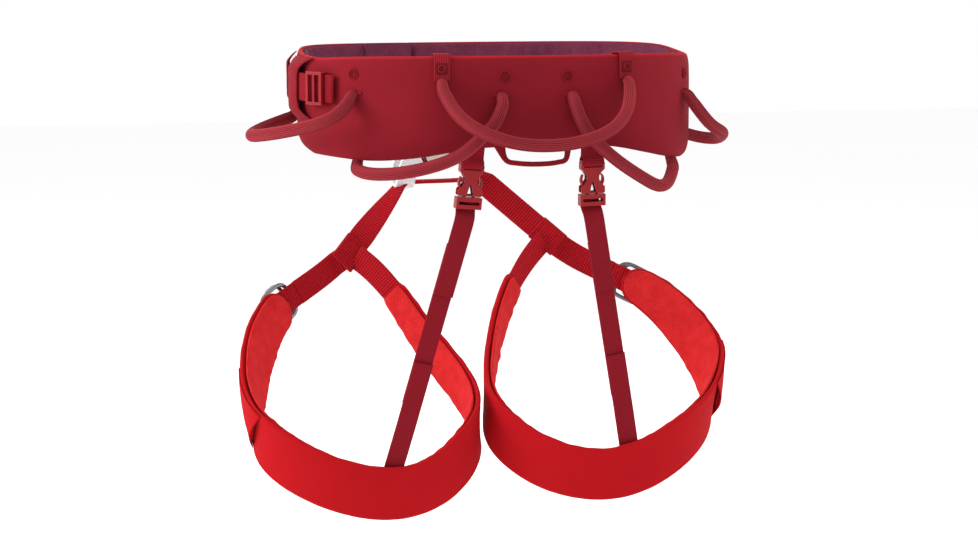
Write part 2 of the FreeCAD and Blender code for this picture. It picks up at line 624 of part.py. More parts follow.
for side, route in LEGS.items():
    band = Band(route, LEANS)
    junction = Vector(*route[0])
    pad_start, pad_end = band.distance(1), band.distance(11) + TONGUES[side][0]
    widths = between([(band.distance(1 + i), width) for i, width in enumerate(PAD_WIDTHS)])
    feature_from(f"{side}_leg_pad", band.solid(pad_start, pad_end, PAD_SPLIT, PAD_OUT, widths, 21))
    feature_from(f"{side}_leg_lining", band.solid(pad_start + 1, pad_end - 1, PAD_IN, PAD_SPLIT - 0.3,
                                                  lambda distance: widths(distance) - 2.0, 21))
    web = lambda distance: dim("leg_web_width")
    half_web = dim("leg_web_thick") / 2
    feature_from(f"{side}_inner_webbing", band.solid(12.5, pad_start - 0.6, -half_web, half_web, web, 3))
    buckle_mid = band.distance(11) + TONGUES[side][1]
    feature_from(f"{side}_outer_webbing", band.solid(buckle_mid + 16.0, band.length - 12.5, 3.0, 3.0 + 2 * half_web,
                                                     web, 4))
    metal_frame(f"{side}_leg_buckle_frame", 27.0, 29.0, 4.0, band.place(buckle_mid, 7.4))
    metal_frame(f"{side}_leg_buckle_tilt_bar", 18.0, 29.0, 3.6, band.place(buckle_mid + 1.0, 10.7))
    keeper_start, keeper_end = band.distance(8) - 4.0, band.distance(9) + 4.0
    feature_from(f"{side}_leg_strap_tail", band.solid(keeper_start + 4.0, buckle_mid - 15.0, PAD_OUT + 1.2,
                                                      PAD_OUT + 2.7, web, 19))
    keeper_width = lambda distance: widths(distance) - 1.0
    feature_from(f"{side}_leg_strap_keeper", band.solid(keeper_start, keeper_end, PAD_OUT + 3.1, PAD_OUT + 4.5,
                                                        keeper_width, 7))
    corner = CORNERS[side]
    along = (junction - corner).normalize()
    strip(f"{side}_upper_webbing", corner + along * WEBBING_START, junction - along * 12.0, Vector(0, 1, 0).cross(along),
          dim("leg_web_width"), dim("leg_web_thick"))
    patch = doc.addObject("Part::Box", side + "_patch_box")
    patch.Length = 22.0
    patch.Width = 3.0
    patch.Height = 23.0
    patch.Placement = turned(junction, along.cross(Vector(0, 1, 0)), along * -1).multiply(
        Placement(Vector(-11.0, -1.5, -11.5), Rotation()))
    node(patch, f"{side}_webbing_junction")

# ---------------------------------------------------------------- checks and export
doc.recompute()
for thing in doc.Objects:
    if "Invalid" in thing.State or "Error" in thing.State:
        raise RuntimeError(f"{thing.Label}: {thing.State}")
os.makedirs("parts", exist_ok=True)
for label, thing in NODES.items():
    shape = thing.Shape
    if shape.isNull() or not shape.isValid() or not shape.Solids or shape.Volume < 1.0:
        raise RuntimeError(f"{label}: bad shape")
    shape.exportStep(f"parts/{label}.step")
print(len(NODES), "nodes")
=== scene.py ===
"""Looks of the climbing sit harness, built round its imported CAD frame. Lengths here are in millimetres, and
MM turns them into metres when a mesh is made."""

import math

import bmesh
import bpy
import numpy as np
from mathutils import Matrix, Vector, noise


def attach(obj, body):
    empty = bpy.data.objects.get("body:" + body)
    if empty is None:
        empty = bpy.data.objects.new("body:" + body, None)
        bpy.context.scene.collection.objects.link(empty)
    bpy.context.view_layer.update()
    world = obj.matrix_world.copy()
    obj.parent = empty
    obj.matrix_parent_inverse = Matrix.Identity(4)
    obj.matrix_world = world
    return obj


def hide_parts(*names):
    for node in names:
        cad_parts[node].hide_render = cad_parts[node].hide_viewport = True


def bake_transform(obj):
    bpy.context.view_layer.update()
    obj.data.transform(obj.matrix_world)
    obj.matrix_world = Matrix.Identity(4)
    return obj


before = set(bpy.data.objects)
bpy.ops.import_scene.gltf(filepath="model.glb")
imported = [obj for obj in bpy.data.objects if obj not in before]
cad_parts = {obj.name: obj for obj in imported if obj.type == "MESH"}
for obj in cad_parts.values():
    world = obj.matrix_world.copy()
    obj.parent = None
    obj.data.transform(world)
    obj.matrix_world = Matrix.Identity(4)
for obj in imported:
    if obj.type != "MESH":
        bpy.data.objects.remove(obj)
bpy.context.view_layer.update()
MM = 0.001

# ---------------------------------------------------------------- the frame's own dimensions, as in the CAD
SIDE_RADIUS, BACK_RADIUS, HALF_DEPTH = 99.0, 400.0, 103.0
BACK_CENTRE = BACK_RADIUS - HALF_DEPTH
SIDE_CENTRE = math.sqrt((BACK_RADIUS - SIDE_RADIUS) ** 2 - BACK_CENTRE ** 2)
SIDE_ANGLE = math.degrees(math.atan2(BACK_CENTRE, SIDE_CENTRE))
FRONT_JOIN = -42.0
WEB_MID = 12.0
CORD_RADIUS = 4.6  # gear-loop cord
WAIST_WEB = 20.0  # waist webbing's width
FRAME_HEIGHT = 30.0  # metal buckle frames
BELAY_WEB = 15.0  # belay loop's width


def vec(*values):
    return np.array(values, float)


def unit(a):
    return a / np.linalg.norm(a)


def distances(points):
    """Distance along a line of points at each of them, from its first."""
    steps = np.linalg.norm(np.diff(np.asarray(points, float), axis=0), axis=1)
    return np.concatenate([[0], np.cumsum(steps)])


# ---------------------------------------------------------------- camera, light and floor
def camera_and_stage():
    """Camera behind the wearer, 17 degrees to the left and 7 degrees up, with a pale floor and soft light."""
    target = vec(-4.0, 0.0, -132.0)
    azimuth, elevation, distance = math.radians(-17.0), math.radians(7.0), 2000.0
    back = vec(math.sin(azimuth) * math.cos(elevation), -math.cos(azimuth) * math.cos(elevation),
               math.sin(elevation))
    camera = bpy.data.objects.new("camera", bpy.data.cameras.new("camera"))
    bpy.context.scene.collection.objects.link(camera)
    camera.location = Vector((target + back * distance) * MM)
    camera.rotation_euler = Vector(-back).to_track_quat("-Z", "Y").to_euler()
    frame_width = 733.5  # millimetres seen across at the target
    camera.data.sensor_width = 36.0
    camera.data.lens = 36.0 * distance / frame_width
    camera.data.clip_end = 30.0
    bpy.context.scene.camera = camera

    floor = box_mesh("floor", 12000.0, 12000.0, 20.0, (0, 0, -420.0))
    floor.data.materials.append(plain_material("floor", (0.97, 0.97, 0.97), 0.9))
    world = bpy.data.worlds.new("studio")
    bpy.context.scene.world = world
    world.use_nodes = True
    world.node_tree.nodes["Background"].inputs["Color"].default_value = (1, 1, 1, 1)
    world.node_tree.nodes["Background"].inputs["Strength"].default_value = 1.0
    bpy.context.scene.view_settings.view_transform = "Standard"
    for name, place, size, watts in (
            ("key", (-1800, -150, 500), 1000, 30.0), ("fill", (1700, -200, 350), 1000, 10.0),
            ("front", (0, 1500, 500), 1000, 6.0), ("top", (0, -150, 1500), 900, 9.0)):
        light = bpy.data.lights.new(name, "AREA")
        light.size = size * MM
        light.energy = watts
        lamp = bpy.data.objects.new(name, light)
        bpy.context.scene.collection.objects.link(lamp)
        lamp.location = Vector(place) * MM
        aim = Vector((0, 0, -120)) - Vector(place)
        lamp.rotation_euler = aim.to_track_quat("-Z", "Y").to_euler()


# ---------------------------------------------------------------- meshes
def new_object(name, vertices, faces, uvs=None):
    mesh = bpy.data.meshes.new(name)
    mesh.from_pydata([tuple(v * MM) for v in np.asarray(vertices, float)], [], faces)
    if uvs is not None:
        layer = mesh.uv_layers.new(name="cloth")
        for loop in mesh.loops:
            layer.data[loop.index].uv = uvs[loop.index]
    mesh.polygons.foreach_set("use_smooth", [True] * len(mesh.polygons))
    thing = bpy.data.objects.new(name, mesh)
    bpy.context.scene.collection.objects.link(thing)
    return thing


def box_mesh(name, x, y, z, centre):
    corners = [vec(sx * x / 2, sy * y / 2, sz * z / 2) + vec(*centre)
               for sx in (-1, 1) for sy in (-1, 1) for sz in (-1, 1)]
    faces = [(0, 1, 3, 2), (4, 6, 7, 5), (0, 4, 5, 1), (2, 3, 7, 6), (0, 2, 6, 4), (1, 5, 7, 3)]
    thing = new_object(name, corners, faces)
    thing.data.polygons.foreach_set("use_smooth", [False] * 6)
    return thing


def grid_faces(count, size, along, around, closed=False):
    """Faces and UVs between rings of points; when closed, the last ring joins the first."""
    faces, uvs = [], []
    for i in range(count if closed else count - 1):
        n = (i + 1) % count
        for j in range(size):
            k = (j + 1) % size
            faces.append((i * size + j, i * size + k, n * size + k, n * size + j))
            uvs += [(along[i], around[j]), (along[i], around[j + 1]), (along[i + 1], around[j + 1]),
                    (along[i + 1], around[j])]
    return faces, uvs


def skin(name, rings, along=None, shell=False):
    """Closed mesh through equal rings of points, capped at both ends. UVs are millimetres along and around.

    A shell's ring runs along its outside and back along its inside, and its ends are open between them."""
    rings = np.asarray(rings, float)
    count, size = rings.shape[0], rings.shape[1]
    centres = rings.mean(axis=1)
    if along is None:
        along = distances(centres)
    around = distances(np.vstack([rings[count // 2], rings[count // 2][:1]]))
    vertices = list(rings.reshape(-1, 3)) + ([] if shell else [centres[0], centres[-1]])
    faces, uvs = grid_faces(count, size, along, around)
    first, last = count * size, count * size + 1
    for j in range(size // 2 - 1 if shell else 0):
        for base, place in ((0, along[0]), ((count - 1) * size, along[-1])):
            faces.append((base + j, base + j + 1, base + size - 2 - j, base + size - 1 - j))
            uvs += [(place, around[j])] * 4
    for j in range(0 if shell else size):
        k = (j + 1) % size
        faces.append((first, k, j))
        uvs += [(along[0], around[j])] * 3
        faces.append((last, (count - 1) * size + j, (count - 1) * size + k))
        uvs += [(along[-1], around[j])] * 3
    thing = new_object(name, vertices, faces, uvs)
    orient(thing)
    return thing


def orient(thing):
    """Turn the faces outwards."""
    work = bmesh.new()
    work.from_mesh(thing.data)
    bmesh.ops.recalc_face_normals(work, faces=work.faces)
    work.to_mesh(thing.data)
    work.free()


def joined(name, things):
    """One object from several."""
    for other in things[1:]:
        for material in other.data.materials:
            if material.name not in things[0].data.materials:
                things[0].data.materials.append(material)
    with bpy.context.temp_override(active_object=things[0], object=things[0], selected_objects=things,
                                   selected_editable_objects=things):
        bpy.ops.object.join()
    things[0].name = name
    things[0].data.name = name
    return things[0]


def spline(points, count, order=3):
    """Evenly spaced points on a clamped NURBS curve with these control points."""
    curve = bpy.data.curves.new("route", "CURVE")
    curve.dimensions = "3D"
    line = curve.splines.new("NURBS")
    line.points.add(len(points) - 1)
    for target, point in zip(line.points, points):
        target.co = (*point, 1.0)
    line.order_u = order
    line.use_endpoint_u = True
    line.resolution_u = 24
    holder = bpy.data.objects.new("route", curve)
    bpy.context.scene.collection.objects.link(holder)
    bpy.context.view_layer.update()
    mesh = bpy.data.meshes.new_from_object(holder.evaluated_get(bpy.context.evaluated_depsgraph_get()))
    found = np.array([v.co for v in mesh.vertices], float)
    bpy.data.objects.remove(holder)
    bpy.data.curves.remove(curve)
    bpy.data.meshes.remove(mesh)
    return resample(found, count)


def resample(points, count):
    points = np.asarray(points, float)
    reach = distances(points)
    where = np.linspace(0, reach[-1], count)
    return np.column_stack([np.interp(where, reach, points[:, i]) for i in range(points.shape[1])])


def tangents(points):
    steps = np.gradient(np.asarray(points, float), axis=0)
    return steps / np.linalg.norm(steps, axis=1)[:, None]


def interpolated(points, count):
    """Evenly spaced points on a smooth curve through these points (centripetal Catmull-Rom)."""
    points = np.asarray(points, float)
    ends = [2 * points[0] - points[1]] + list(points) + [2 * points[-1] - points[-2]]
    dense = []
    for p0, p1, p2, p3 in zip(ends, ends[1:], ends[2:], ends[3:]):
        k0 = 0.0
        k1 = k0 + np.linalg.norm(p1 - p0) ** 0.5
        k2 = k1 + np.linalg.norm(p2 - p1) ** 0.5
        k3 = k2 + np.linalg.norm(p3 - p2) ** 0.5
        for k in np.linspace(k1, k2, 16, endpoint=False):
            a1 = p0 * (k1 - k) / (k1 - k0) + p1 * (k - k0) / (k1 - k0)
            a2 = p1 * (k2 - k) / (k2 - k1) + p2 * (k - k1) / (k2 - k1)
            a3 = p2 * (k3 - k) / (k3 - k2) + p3 * (k - k2) / (k3 - k2)
            b1 = a1 * (k2 - k) / (k2 - k0) + a2 * (k - k0) / (k2 - k0)
            b2 = a2 * (k3 - k) / (k3 - k1) + a3 * (k - k1) / (k3 - k1)
            dense.append(b1 * (k2 - k) / (k2 - k1) + b2 * (k - k1) / (k2 - k1))
    dense.append(points[-1])
    return resample(dense, count)


def section(width, low, high, radius, flats=10, rounds=5):
    """Rounded rectangle as (across, out) points: across is -width/2..width/2 and out is low..high."""
    radius = min(radius, (high - low) / 2 * 0.999, width / 2 * 0.999)
    outline = []
    corners = [(width / 2 - radius, high - radius, 0), (-width / 2 + radius, high - radius, 90),
               (-width / 2 + radius, low + radius, 180), (width / 2 - radius, low + radius, 270)]
    for i, (x, y, start) in enumerate(corners):
        for step in range(rounds + 1):
            angle = math.radians(start + 90 * step / rounds)
            outline.append((x + radius * math.cos(angle), y + radius * math.sin(angle)))
        if i in (0, 2):
            nx, ny, _ = corners[i + 1]
            x0, y0 = outline[-1]
            x1 = nx
            for step in range(1, flats):
                outline.append((x0 + (x1 - x0) * step / flats, y0))
    return np.array(outline)


def ribbon(name, points, across, width, thick, radius=None, outline=None):
    """Flat strap along points. across is one direction or one for each point; width may vary too."""
    points = np.asarray(points, float)
    along = tangents(points)
    across = np.broadcast_to(np.asarray(across, float), points.shape)
    widths = np.broadcast_to(np.asarray(width, float), (len(points),))
    thicks = np.broadcast_to(np.asarray(thick, float), (len(points),))
    rings = []
    for point, tangent, side, w, t in zip(points, along, across, widths, thicks):
        side = unit(side - tangent * side.dot(tangent))
        out = np.cross(tangent, side)
        shape = section(w, -t / 2, t / 2, radius or t * 0.42) if outline is None else outline(w, t)
        rings.append([point + side * a + out * b for a, b in shape])
    return skin(name, rings)


def tube(name, points, radius, sides, ridges=0):
    """Round cord along points, whose radius is one value or one for each; it may have ridges along it."""
    points = np.asarray(points, float)
    along = tangents(points)
    radii = np.broadcast_to(np.asarray(radius, float), (len(points),))
    depth = RIDGE_DEPTH if ridges else 0.0
    normal = unit(np.cross(along[0], vec(0.3, 0.2, 1.0)))
    rings = []
    for point, tangent, size in zip(points, along, radii):
        normal = unit(normal - tangent * normal.dot(tangent))
        other = np.cross(tangent, normal)
        rings.append([point + (normal * math.cos(a) + other * math.sin(a))
                      * (size - depth + depth * math.cos(a * ridges))
                      for a in np.arange(sides) * 2 * math.pi / sides])
    return skin(name, rings)


def noise_at(point, scale, seed=0.0):
    x, y, z = (value * scale for value in point)
    return noise.noise(Vector((x + seed, y - seed, z + 2 * seed)))


def stitches(name, points, normals, spacing=2.6, length=1.9, radius=0.28):
    """Row of thread stitches lying on a surface."""
    points = np.asarray(points, float)
    reach = distances(points)
    total = reach[-1]
    vertices, faces = [], []
    for number in range(max(1, int(total / spacing))):
        middle = (number + 0.5) * spacing
        place = vec(*[np.interp(middle, reach, points[:, i]) for i in range(3)])
        ahead = vec(*[np.interp(middle + 0.2, reach, points[:, i]) for i in range(3)]) - place
        if np.linalg.norm(ahead) < 1e-6:
            continue
        along = unit(ahead)
        normal = unit(vec(*[np.interp(middle, reach, np.asarray(normals)[:, i]) for i in range(3)]))
        side = np.cross(along, normal)
        base = len(vertices)
        for step, share in ((-0.5, 0.15), (-0.3, 0.9), (0.0, 1.0), (0.3, 0.9), (0.5, 0.15)):
            lift = 0.25 * math.cos(step * math.pi) * radius
            for k in range(6):
                angle = k * math.pi / 3
                vertices.append(place + along * (step * length)
                                + normal * (lift + share * radius * math.sin(angle))
                                + side * share * radius * math.cos(angle))
        for i in range(4):
            for k in range(6):
                j = (k + 1) % 6
                faces.append((base + i * 6 + k, base + i * 6 + j, base + i * 6 + 6 + j, base + i * 6 + 6 + k))
        faces.append(tuple(base + k for k in reversed(range(6))))
        faces.append(tuple(base + 24 + k for k in range(6)))
    thing = new_object(name, vertices, faces)
    orient(thing)
    return thing


def moulded(node, width=0.5, segments=3):
    """Copy of a CAD node with softened edges, as a moulded or forged piece has."""
    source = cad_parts[node]
    mesh = source.data.copy()
    mesh.name = node + "_piece"
    mesh.materials.clear()
    work = bmesh.new()
    work.from_mesh(mesh)
    bmesh.ops.remove_doubles(work, verts=work.verts, dist=1e-6)
    bmesh.ops.dissolve_limit(work, angle_limit=math.radians(1.5), verts=work.verts, edges=work.edges)
    sharp = [e for e in work.edges if len(e.link_faces) == 2 and e.calc_face_angle(0) > math.radians(25)]
    bmesh.ops.bevel(work, geom=sharp, offset=width * MM, segments=segments, profile=0.5, affect="EDGES",
                    clamp_overlap=True)
    bmesh.ops.recalc_face_normals(work, faces=work.faces)
    for face in work.faces:
        face.smooth = True
    work.to_mesh(mesh)
    work.free()
    for layer in list(mesh.uv_layers):
        mesh.uv_layers.remove(layer)
    if mesh.has_custom_normals:
        mesh.attributes.remove(mesh.attributes["custom_normal"])
    thing = bpy.data.objects.new(node + "_piece", mesh)
    bpy.context.scene.collection.objects.link(thing)
    thing.modifiers.new("shading", "WEIGHTED_NORMAL").keep_sharp = True
    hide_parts(node)
    return thing


# ---------------------------------------------------------------- materials
class Nodes:
    """Small helper that adds shader nodes and links them."""

    def __init__(self, name):
        self.material = bpy.data.materials.new(name)
        self.material.use_nodes = True
        self.tree = self.material.node_tree
        self.shader = self.tree.nodes["Principled BSDF"]

    def add(self, kind, inputs=(), **settings):
        item = self.tree.nodes.new(kind)
        for key, value in settings.items():
            setattr(item, key, value)
        for key, value in dict(inputs).items():
            self.feed(item.inputs[key], value)
        return item

    def feed(self, socket, value):
        if isinstance(value, bpy.types.NodeSocket):
            self.tree.links.new(value, socket)
        else:
            socket.default_value = value

    def math(self, operation, a, b=0.0, c=0.0):
        item = self.add("ShaderNodeMath", {0: a, 1: b, 2: c}, operation=operation)
        return item.outputs[0]

    def noise(self, vector, scale, detail=2.0, roughness=0.5):
        item = self.add("ShaderNodeTexNoise", {"Vector": vector, "Scale": scale, "Detail": detail,
                                               "Roughness": roughness})
        return item.outputs[0]

    def ramp(self, value, stops):
        item = self.add("ShaderNodeValToRGB", {0: value})
        ramp = item.color_ramp
        while len(ramp.elements) < len(stops):
            ramp.elements.new(0.5)
        for element, (place, colour) in zip(ramp.elements, stops):
            element.position = place
            element.color = (*colour, 1.0)
        return item.outputs[0]

    def mix(self, share, a, b, blend="MIX"):
        item = self.add("ShaderNodeMix", data_type="RGBA", blend_type=blend)
        self.feed(item.inputs[0], share)
        self.feed(item.inputs[6], a if isinstance(a, bpy.types.NodeSocket) else (*a, 1.0))
        self.feed(item.inputs[7], b if isinstance(b, bpy.types.NodeSocket) else (*b, 1.0))
        return item.outputs[2]

    def bump(self, height, strength, distance):
        item = self.add("ShaderNodeBump", {"Height": height, "Strength": strength, "Distance": distance})
        self.tree.links.new(item.outputs[0], self.shader.inputs["Normal"])

    def uv(self):
        split = self.add("ShaderNodeSeparateXYZ", {0: self.add("ShaderNodeUVMap", uv_map="cloth").outputs[0]})
        return split.outputs[0], split.outputs[1]

    def place(self):
        return self.add("ShaderNodeTexCoord").outputs["Object"]


def wave(nodes, value, pitch, phase=0.0):
    """0..1 wave of a coordinate in millimetres."""
    angle = nodes.math("MULTIPLY_ADD", value, 2 * math.pi / pitch, phase)
    return nodes.math("MULTIPLY_ADD", nodes.math("SINE", angle), 0.5, 0.5)


def plain_material(name, colour, roughness):
    nodes = Nodes(name)
    grain = nodes.noise(nodes.place(), 3.0)
    nodes.feed(nodes.shader.inputs["Base Color"], nodes.mix(grain, colour, tuple(c * 0.985 for c in colour)))
    nodes.shader.inputs["Roughness"].default_value = roughness
    return nodes.material


def cloth(name, dark, light, pattern, roughness=0.85, sheen=0.08, bump=(0.5, 0.0004), cloud_share=0.25, cloud=18.0,
          specular=0.05, crease=0.0):
    """Fabric whose height comes from pattern(nodes). Its colour follows that height, as painted shade in the
    pattern's hollows and painted light on its raised parts, mixed with noise clouds. Where crease is set, the
    same clouds raise the creases, so they are painted crease shade too.
    """
    nodes = Nodes(name)
    height = pattern(nodes)
    where = nodes.place()
    clouds = nodes.noise(where, cloud, 3.0)
    fibres = nodes.noise(where, 2600.0, 2.0)
    # colour level: pattern height (painted shade in hollows, painted light on tops), noise clouds (random
    # tone, and painted crease shade where crease is set) and fibre noise
    level = nodes.math("ADD", nodes.math("MULTIPLY", height, 1.0 - cloud_share),
                       nodes.math("MULTIPLY", clouds, cloud_share))
    level = nodes.math("ADD", level, nodes.math("MULTIPLY", nodes.math("SUBTRACT", fibres, 0.5), 0.22))
    nodes.feed(nodes.shader.inputs["Base Color"], nodes.ramp(level, [(0.12, dark), (0.88, light)]))
    rough = nodes.math("MULTIPLY_ADD", fibres, 0.2, roughness - 0.1)
    nodes.feed(nodes.shader.inputs["Roughness"], rough)
    nodes.shader.inputs["Sheen Weight"].default_value = sheen
    nodes.shader.inputs["Sheen Roughness"].default_value = 0.4
    nodes.shader.inputs["Sheen Tint"].default_value = (*[min(1.0, c * 1.2 + 0.05) for c in light], 1.0)
    nodes.shader.inputs["Specular IOR Level"].default_value = specular
    relief = nodes.math("ADD", height, nodes.math("MULTIPLY", fibres, 0.35))
    # crease makes bumps from the same clouds, so their darker colour lies in the creases as painted shade
    relief = nodes.math("ADD", relief, nodes.math("MULTIPLY", clouds, crease))
    nodes.bump(relief, *bump)
    return nodes.material


def twill(pitch=0.9):
    """Fine weave of two crossing diagonals."""
    def pattern(nodes):
        u, v = nodes.uv()
        a = wave(nodes, nodes.math("ADD", u, v), pitch)
        b = wave(nodes, nodes.math("SUBTRACT", u, v), pitch * 0.9)
        return nodes.math("MULTIPLY_ADD", a, 0.6, nodes.math("MULTIPLY", b, 0.4))
    return pattern


def ribbed(pitch=1.5, cross=0.5, depth=0.75):
    """Webbing: strong ribs across the strap and a fine weave along it."""
    def pattern(nodes):
        u, v = nodes.uv()
        ribs = nodes.math("POWER", wave(nodes, u, pitch), 0.7)
        fine = wave(nodes, v, cross)
        return nodes.math("MULTIPLY_ADD", ribs, depth, nodes.math("MULTIPLY", fine, 1.0 - depth))
    return pattern


def lengthwise(pitch):
    """Tape with ribs along it."""
    def pattern(nodes):
        u, v = nodes.uv()
        weft = nodes.math("MULTIPLY", wave(nodes, u, 0.8), 0.2)
        return nodes.math("MULTIPLY_ADD", wave(nodes, v, pitch), 0.8, weft)
    return pattern


def knit(cell=2.4):
    """Open mesh of small round holes."""
    def pattern(nodes):
        u, v = nodes.uv()
        grid = nodes.add("ShaderNodeCombineXYZ", {0: u, 1: v})
        cells = nodes.add("ShaderNodeTexVoronoi", {"Vector": grid.outputs[0], "Scale": 1.0 / cell,
                                                   "Randomness": 0.12})
        return nodes.math("MULTIPLY", cells.outputs["Distance"], 1.5)
    return pattern


def braid(ribs=26, around=29.0):
    """Braided sheath: ridges along the cord crossed by slanting yarns."""
    def pattern(nodes):
        u, v = nodes.uv()
        ridges = wave(nodes, v, around / ribs)
        slant = wave(nodes, nodes.math("MULTIPLY_ADD", u, 1.0, v), 1.25)
        return nodes.math("MULTIPLY_ADD", ridges, 0.72, nodes.math("MULTIPLY", slant, 0.28))
    return pattern


def moulding(name, colour, roughness=0.32):
    """Glossy moulded plastic with faint mould texture and scuffed lighter patches."""
    nodes = Nodes(name)
    where = nodes.place()
    clouds = nodes.noise(where, 60.0, 3.0)
    fine = nodes.noise(where, 900.0, 2.0)
    tone = nodes.mix(nodes.math("MULTIPLY", clouds, 0.5), tuple(c * 0.8 for c in colour),
                     tuple(min(1.0, c * 1.2 + 0.01) for c in colour))
    nodes.feed(nodes.shader.inputs["Base Color"], tone)
    nodes.feed(nodes.shader.inputs["Roughness"], nodes.math("MULTIPLY_ADD", clouds, 0.18, roughness - 0.09))
    nodes.shader.inputs["Specular IOR Level"].default_value = 0.2
    nodes.shader.inputs["Coat Weight"].default_value = 0.06
    nodes.shader.inputs["Coat Roughness"].default_value = 0.15
    nodes.bump(nodes.math("MULTIPLY_ADD", fine, 0.6, clouds), 0.18, 0.0002)
    return nodes.material


def metal_material(name, colour):
    nodes = Nodes(name)
    where = nodes.place()
    brush = nodes.noise(where, 420.0, 3.0)
    clouds = nodes.noise(where, 70.0, 2.0)
    nodes.shader.inputs["Metallic"].default_value = 1.0
    nodes.feed(nodes.shader.inputs["Base Color"], nodes.mix(clouds, tuple(c * 0.7 for c in colour), colour))
    nodes.feed(nodes.shader.inputs["Roughness"], nodes.math("MULTIPLY_ADD", brush, 0.25, 0.22))
    nodes.bump(brush, 0.15, 0.0001)
    return nodes.material


def belt_material(top=None):
    """Outer belt cloth: fine stretch weave in dark wine red, with a painted highlight along the top edge
    where it is rolled over, and plum just inside it. top is the distance round the belt's section to that
    edge."""
    nodes = Nodes("belt_cloth")
    u, v = nodes.uv()
    where = nodes.place()
    weave = nodes.math("MULTIPLY_ADD", wave(nodes, nodes.math("ADD", u, v), 0.85), 0.5,
                       nodes.math("MULTIPLY", wave(nodes, nodes.math("SUBTRACT", u, v), 0.85), 0.5))
    clouds = nodes.noise(where, 14.0, 3.0)
    fibres = nodes.noise(where, 2400.0, 2.0)
    # the weave's share of the colour is painted shade in its hollows and painted light on its crossings; the
    # clouds and fibres are random tone
    level = nodes.math("ADD", nodes.math("MULTIPLY", clouds, 0.55), nodes.math("MULTIPLY", weave, 0.3))
    level = nodes.math("ADD", level, nodes.math("MULTIPLY", fibres, 0.15))
    colour = nodes.ramp(level, [(0.2, (0.15, 0.0058, 0.011)), (0.8, (0.225, 0.0095, 0.017))])
    if top is not None:
        # painted highlight: a brighter band along the rolled top edge, where light from above falls on it
        away = nodes.math("ABSOLUTE", nodes.math("SUBTRACT", v, top - 0.8))
        top_edge_highlight = nodes.add("ShaderNodeMapRange", {0: away, 1: 2.6, 2: 1.2, 3: 0.0, 4: 0.6})
        colour = nodes.mix(top_edge_highlight.outputs[0], colour, (0.40, 0.012, 0.020))
        past = nodes.math("MULTIPLY", nodes.math("GREATER_THAN", v, top + 2.2),
                          nodes.math("LESS_THAN", v, top + 14.0))
        colour = nodes.mix(past, colour, (0.12, 0.02, 0.045))
    nodes.feed(nodes.shader.inputs["Base Color"], colour)
    nodes.feed(nodes.shader.inputs["Roughness"], nodes.math("MULTIPLY_ADD", fibres, 0.15, 0.75))
    nodes.shader.inputs["Sheen Weight"].default_value = 0.05
    nodes.shader.inputs["Sheen Roughness"].default_value = 0.35
    nodes.shader.inputs["Sheen Tint"].default_value = (0.7, 0.12, 0.15, 1.0)
    nodes.shader.inputs["Specular IOR Level"].default_value = 0.06
    nodes.bump(nodes.math("MULTIPLY_ADD", fibres, 0.5, weave), 0.35, 0.00035)
    return nodes.material


# ---------------------------------------------------------------- the waistbelt's oval
ARCS = [  # centre X, centre Y, radius, start and end degrees: counter-clockwise from the front's middle
    (0.0, -BACK_CENTRE, BACK_RADIUS, 90.0, 180.0 - SIDE_ANGLE),
    (-SIDE_CENTRE, 0.0, SIDE_RADIUS, 180.0 - SIDE_ANGLE, 180.0 + SIDE_ANGLE),
    (0.0, BACK_CENTRE, BACK_RADIUS, 180.0 + SIDE_ANGLE, 360.0 - SIDE_ANGLE),
    (SIDE_CENTRE, 0.0, SIDE_RADIUS, 360.0 - SIDE_ANGLE, 360.0 + SIDE_ANGLE),
    (0.0, -BACK_CENTRE, BACK_RADIUS, SIDE_ANGLE, 90.0),
]
LENGTHS = [radius * math.radians(end - start) for _, _, radius, start, end in ARCS]
ROUND = sum(LENGTHS)


def oval(distance):
    """Point and outward normal on the belt's surface, from above, at a distance from the front's middle."""
    distance = distance % ROUND
    for (x, y, radius, start, end), length in zip(ARCS, LENGTHS):
        if distance <= length or (x, y, radius, start, end) == ARCS[-1]:
            angle = math.radians(start + (end - start) * min(1.0, distance / length))
            normal = vec(math.cos(angle), math.sin(angle), 0.0)
            return vec(x, y, 0.0) + normal * radius, normal
        distance -= length


OVAL_TABLE = [(step * ROUND / 2000, oval(step * ROUND / 2000)[0]) for step in range(2000)]


def oval_at(x=None, y=None, side=-1):
    """Distance round the belt where it has this X on its back (side -1) or front (+1), or this Y on its
    left (side -1) or right (+1)."""
    if x is not None:
        near = [(abs(p[0] - x), d) for d, p in OVAL_TABLE if p[1] * side > 0]
    else:
        near = [(abs(p[1] - y), d) for d, p in OVAL_TABLE if p[0] * side > 0]
    return min(near)[1]


def on_belt(distance, height, proud=0.0):
    point, normal = oval(distance)
    return point + normal * proud + vec(0, 0, height)


def on_back(x, height, proud=0.0, side=-1):
    return on_belt(oval_at(x=x, side=side), height, proud)


BOTTOM = [(-125, -42.0), (-92, -42.0), (-61, -41.4), (-30, -37.0), (0, -31.0), (29, -25.0), (60, -18.0),
          (125, -14.0)]
ARCH = [(-152, -35.0), (-135, -37.0), (-120, -38.2), (-105, -37.8), (-80, -35.0), (-45, -29.4), (0, -28.4),
        (45, -28.8), (62, -30.2), (90, -35.5), (110, -39.5), (125, -41.3), (152, -41.8)]
TOP = [(-125, 36.0), (-92, 36.0), (-61, 35.0), (-29, 33.5), (0, 35.0), (29, 38.3), (60, 39.3), (125, 38.6)]
ARCH_EDGE = interpolated([vec(x, z, 0) for x, z in ARCH], 300)
BOTTOM_EDGE = interpolated([vec(y, z, 0) for y, z in BOTTOM], 200)
TOP_EDGE = interpolated([vec(y, z, 0) for y, z in TOP], 200)


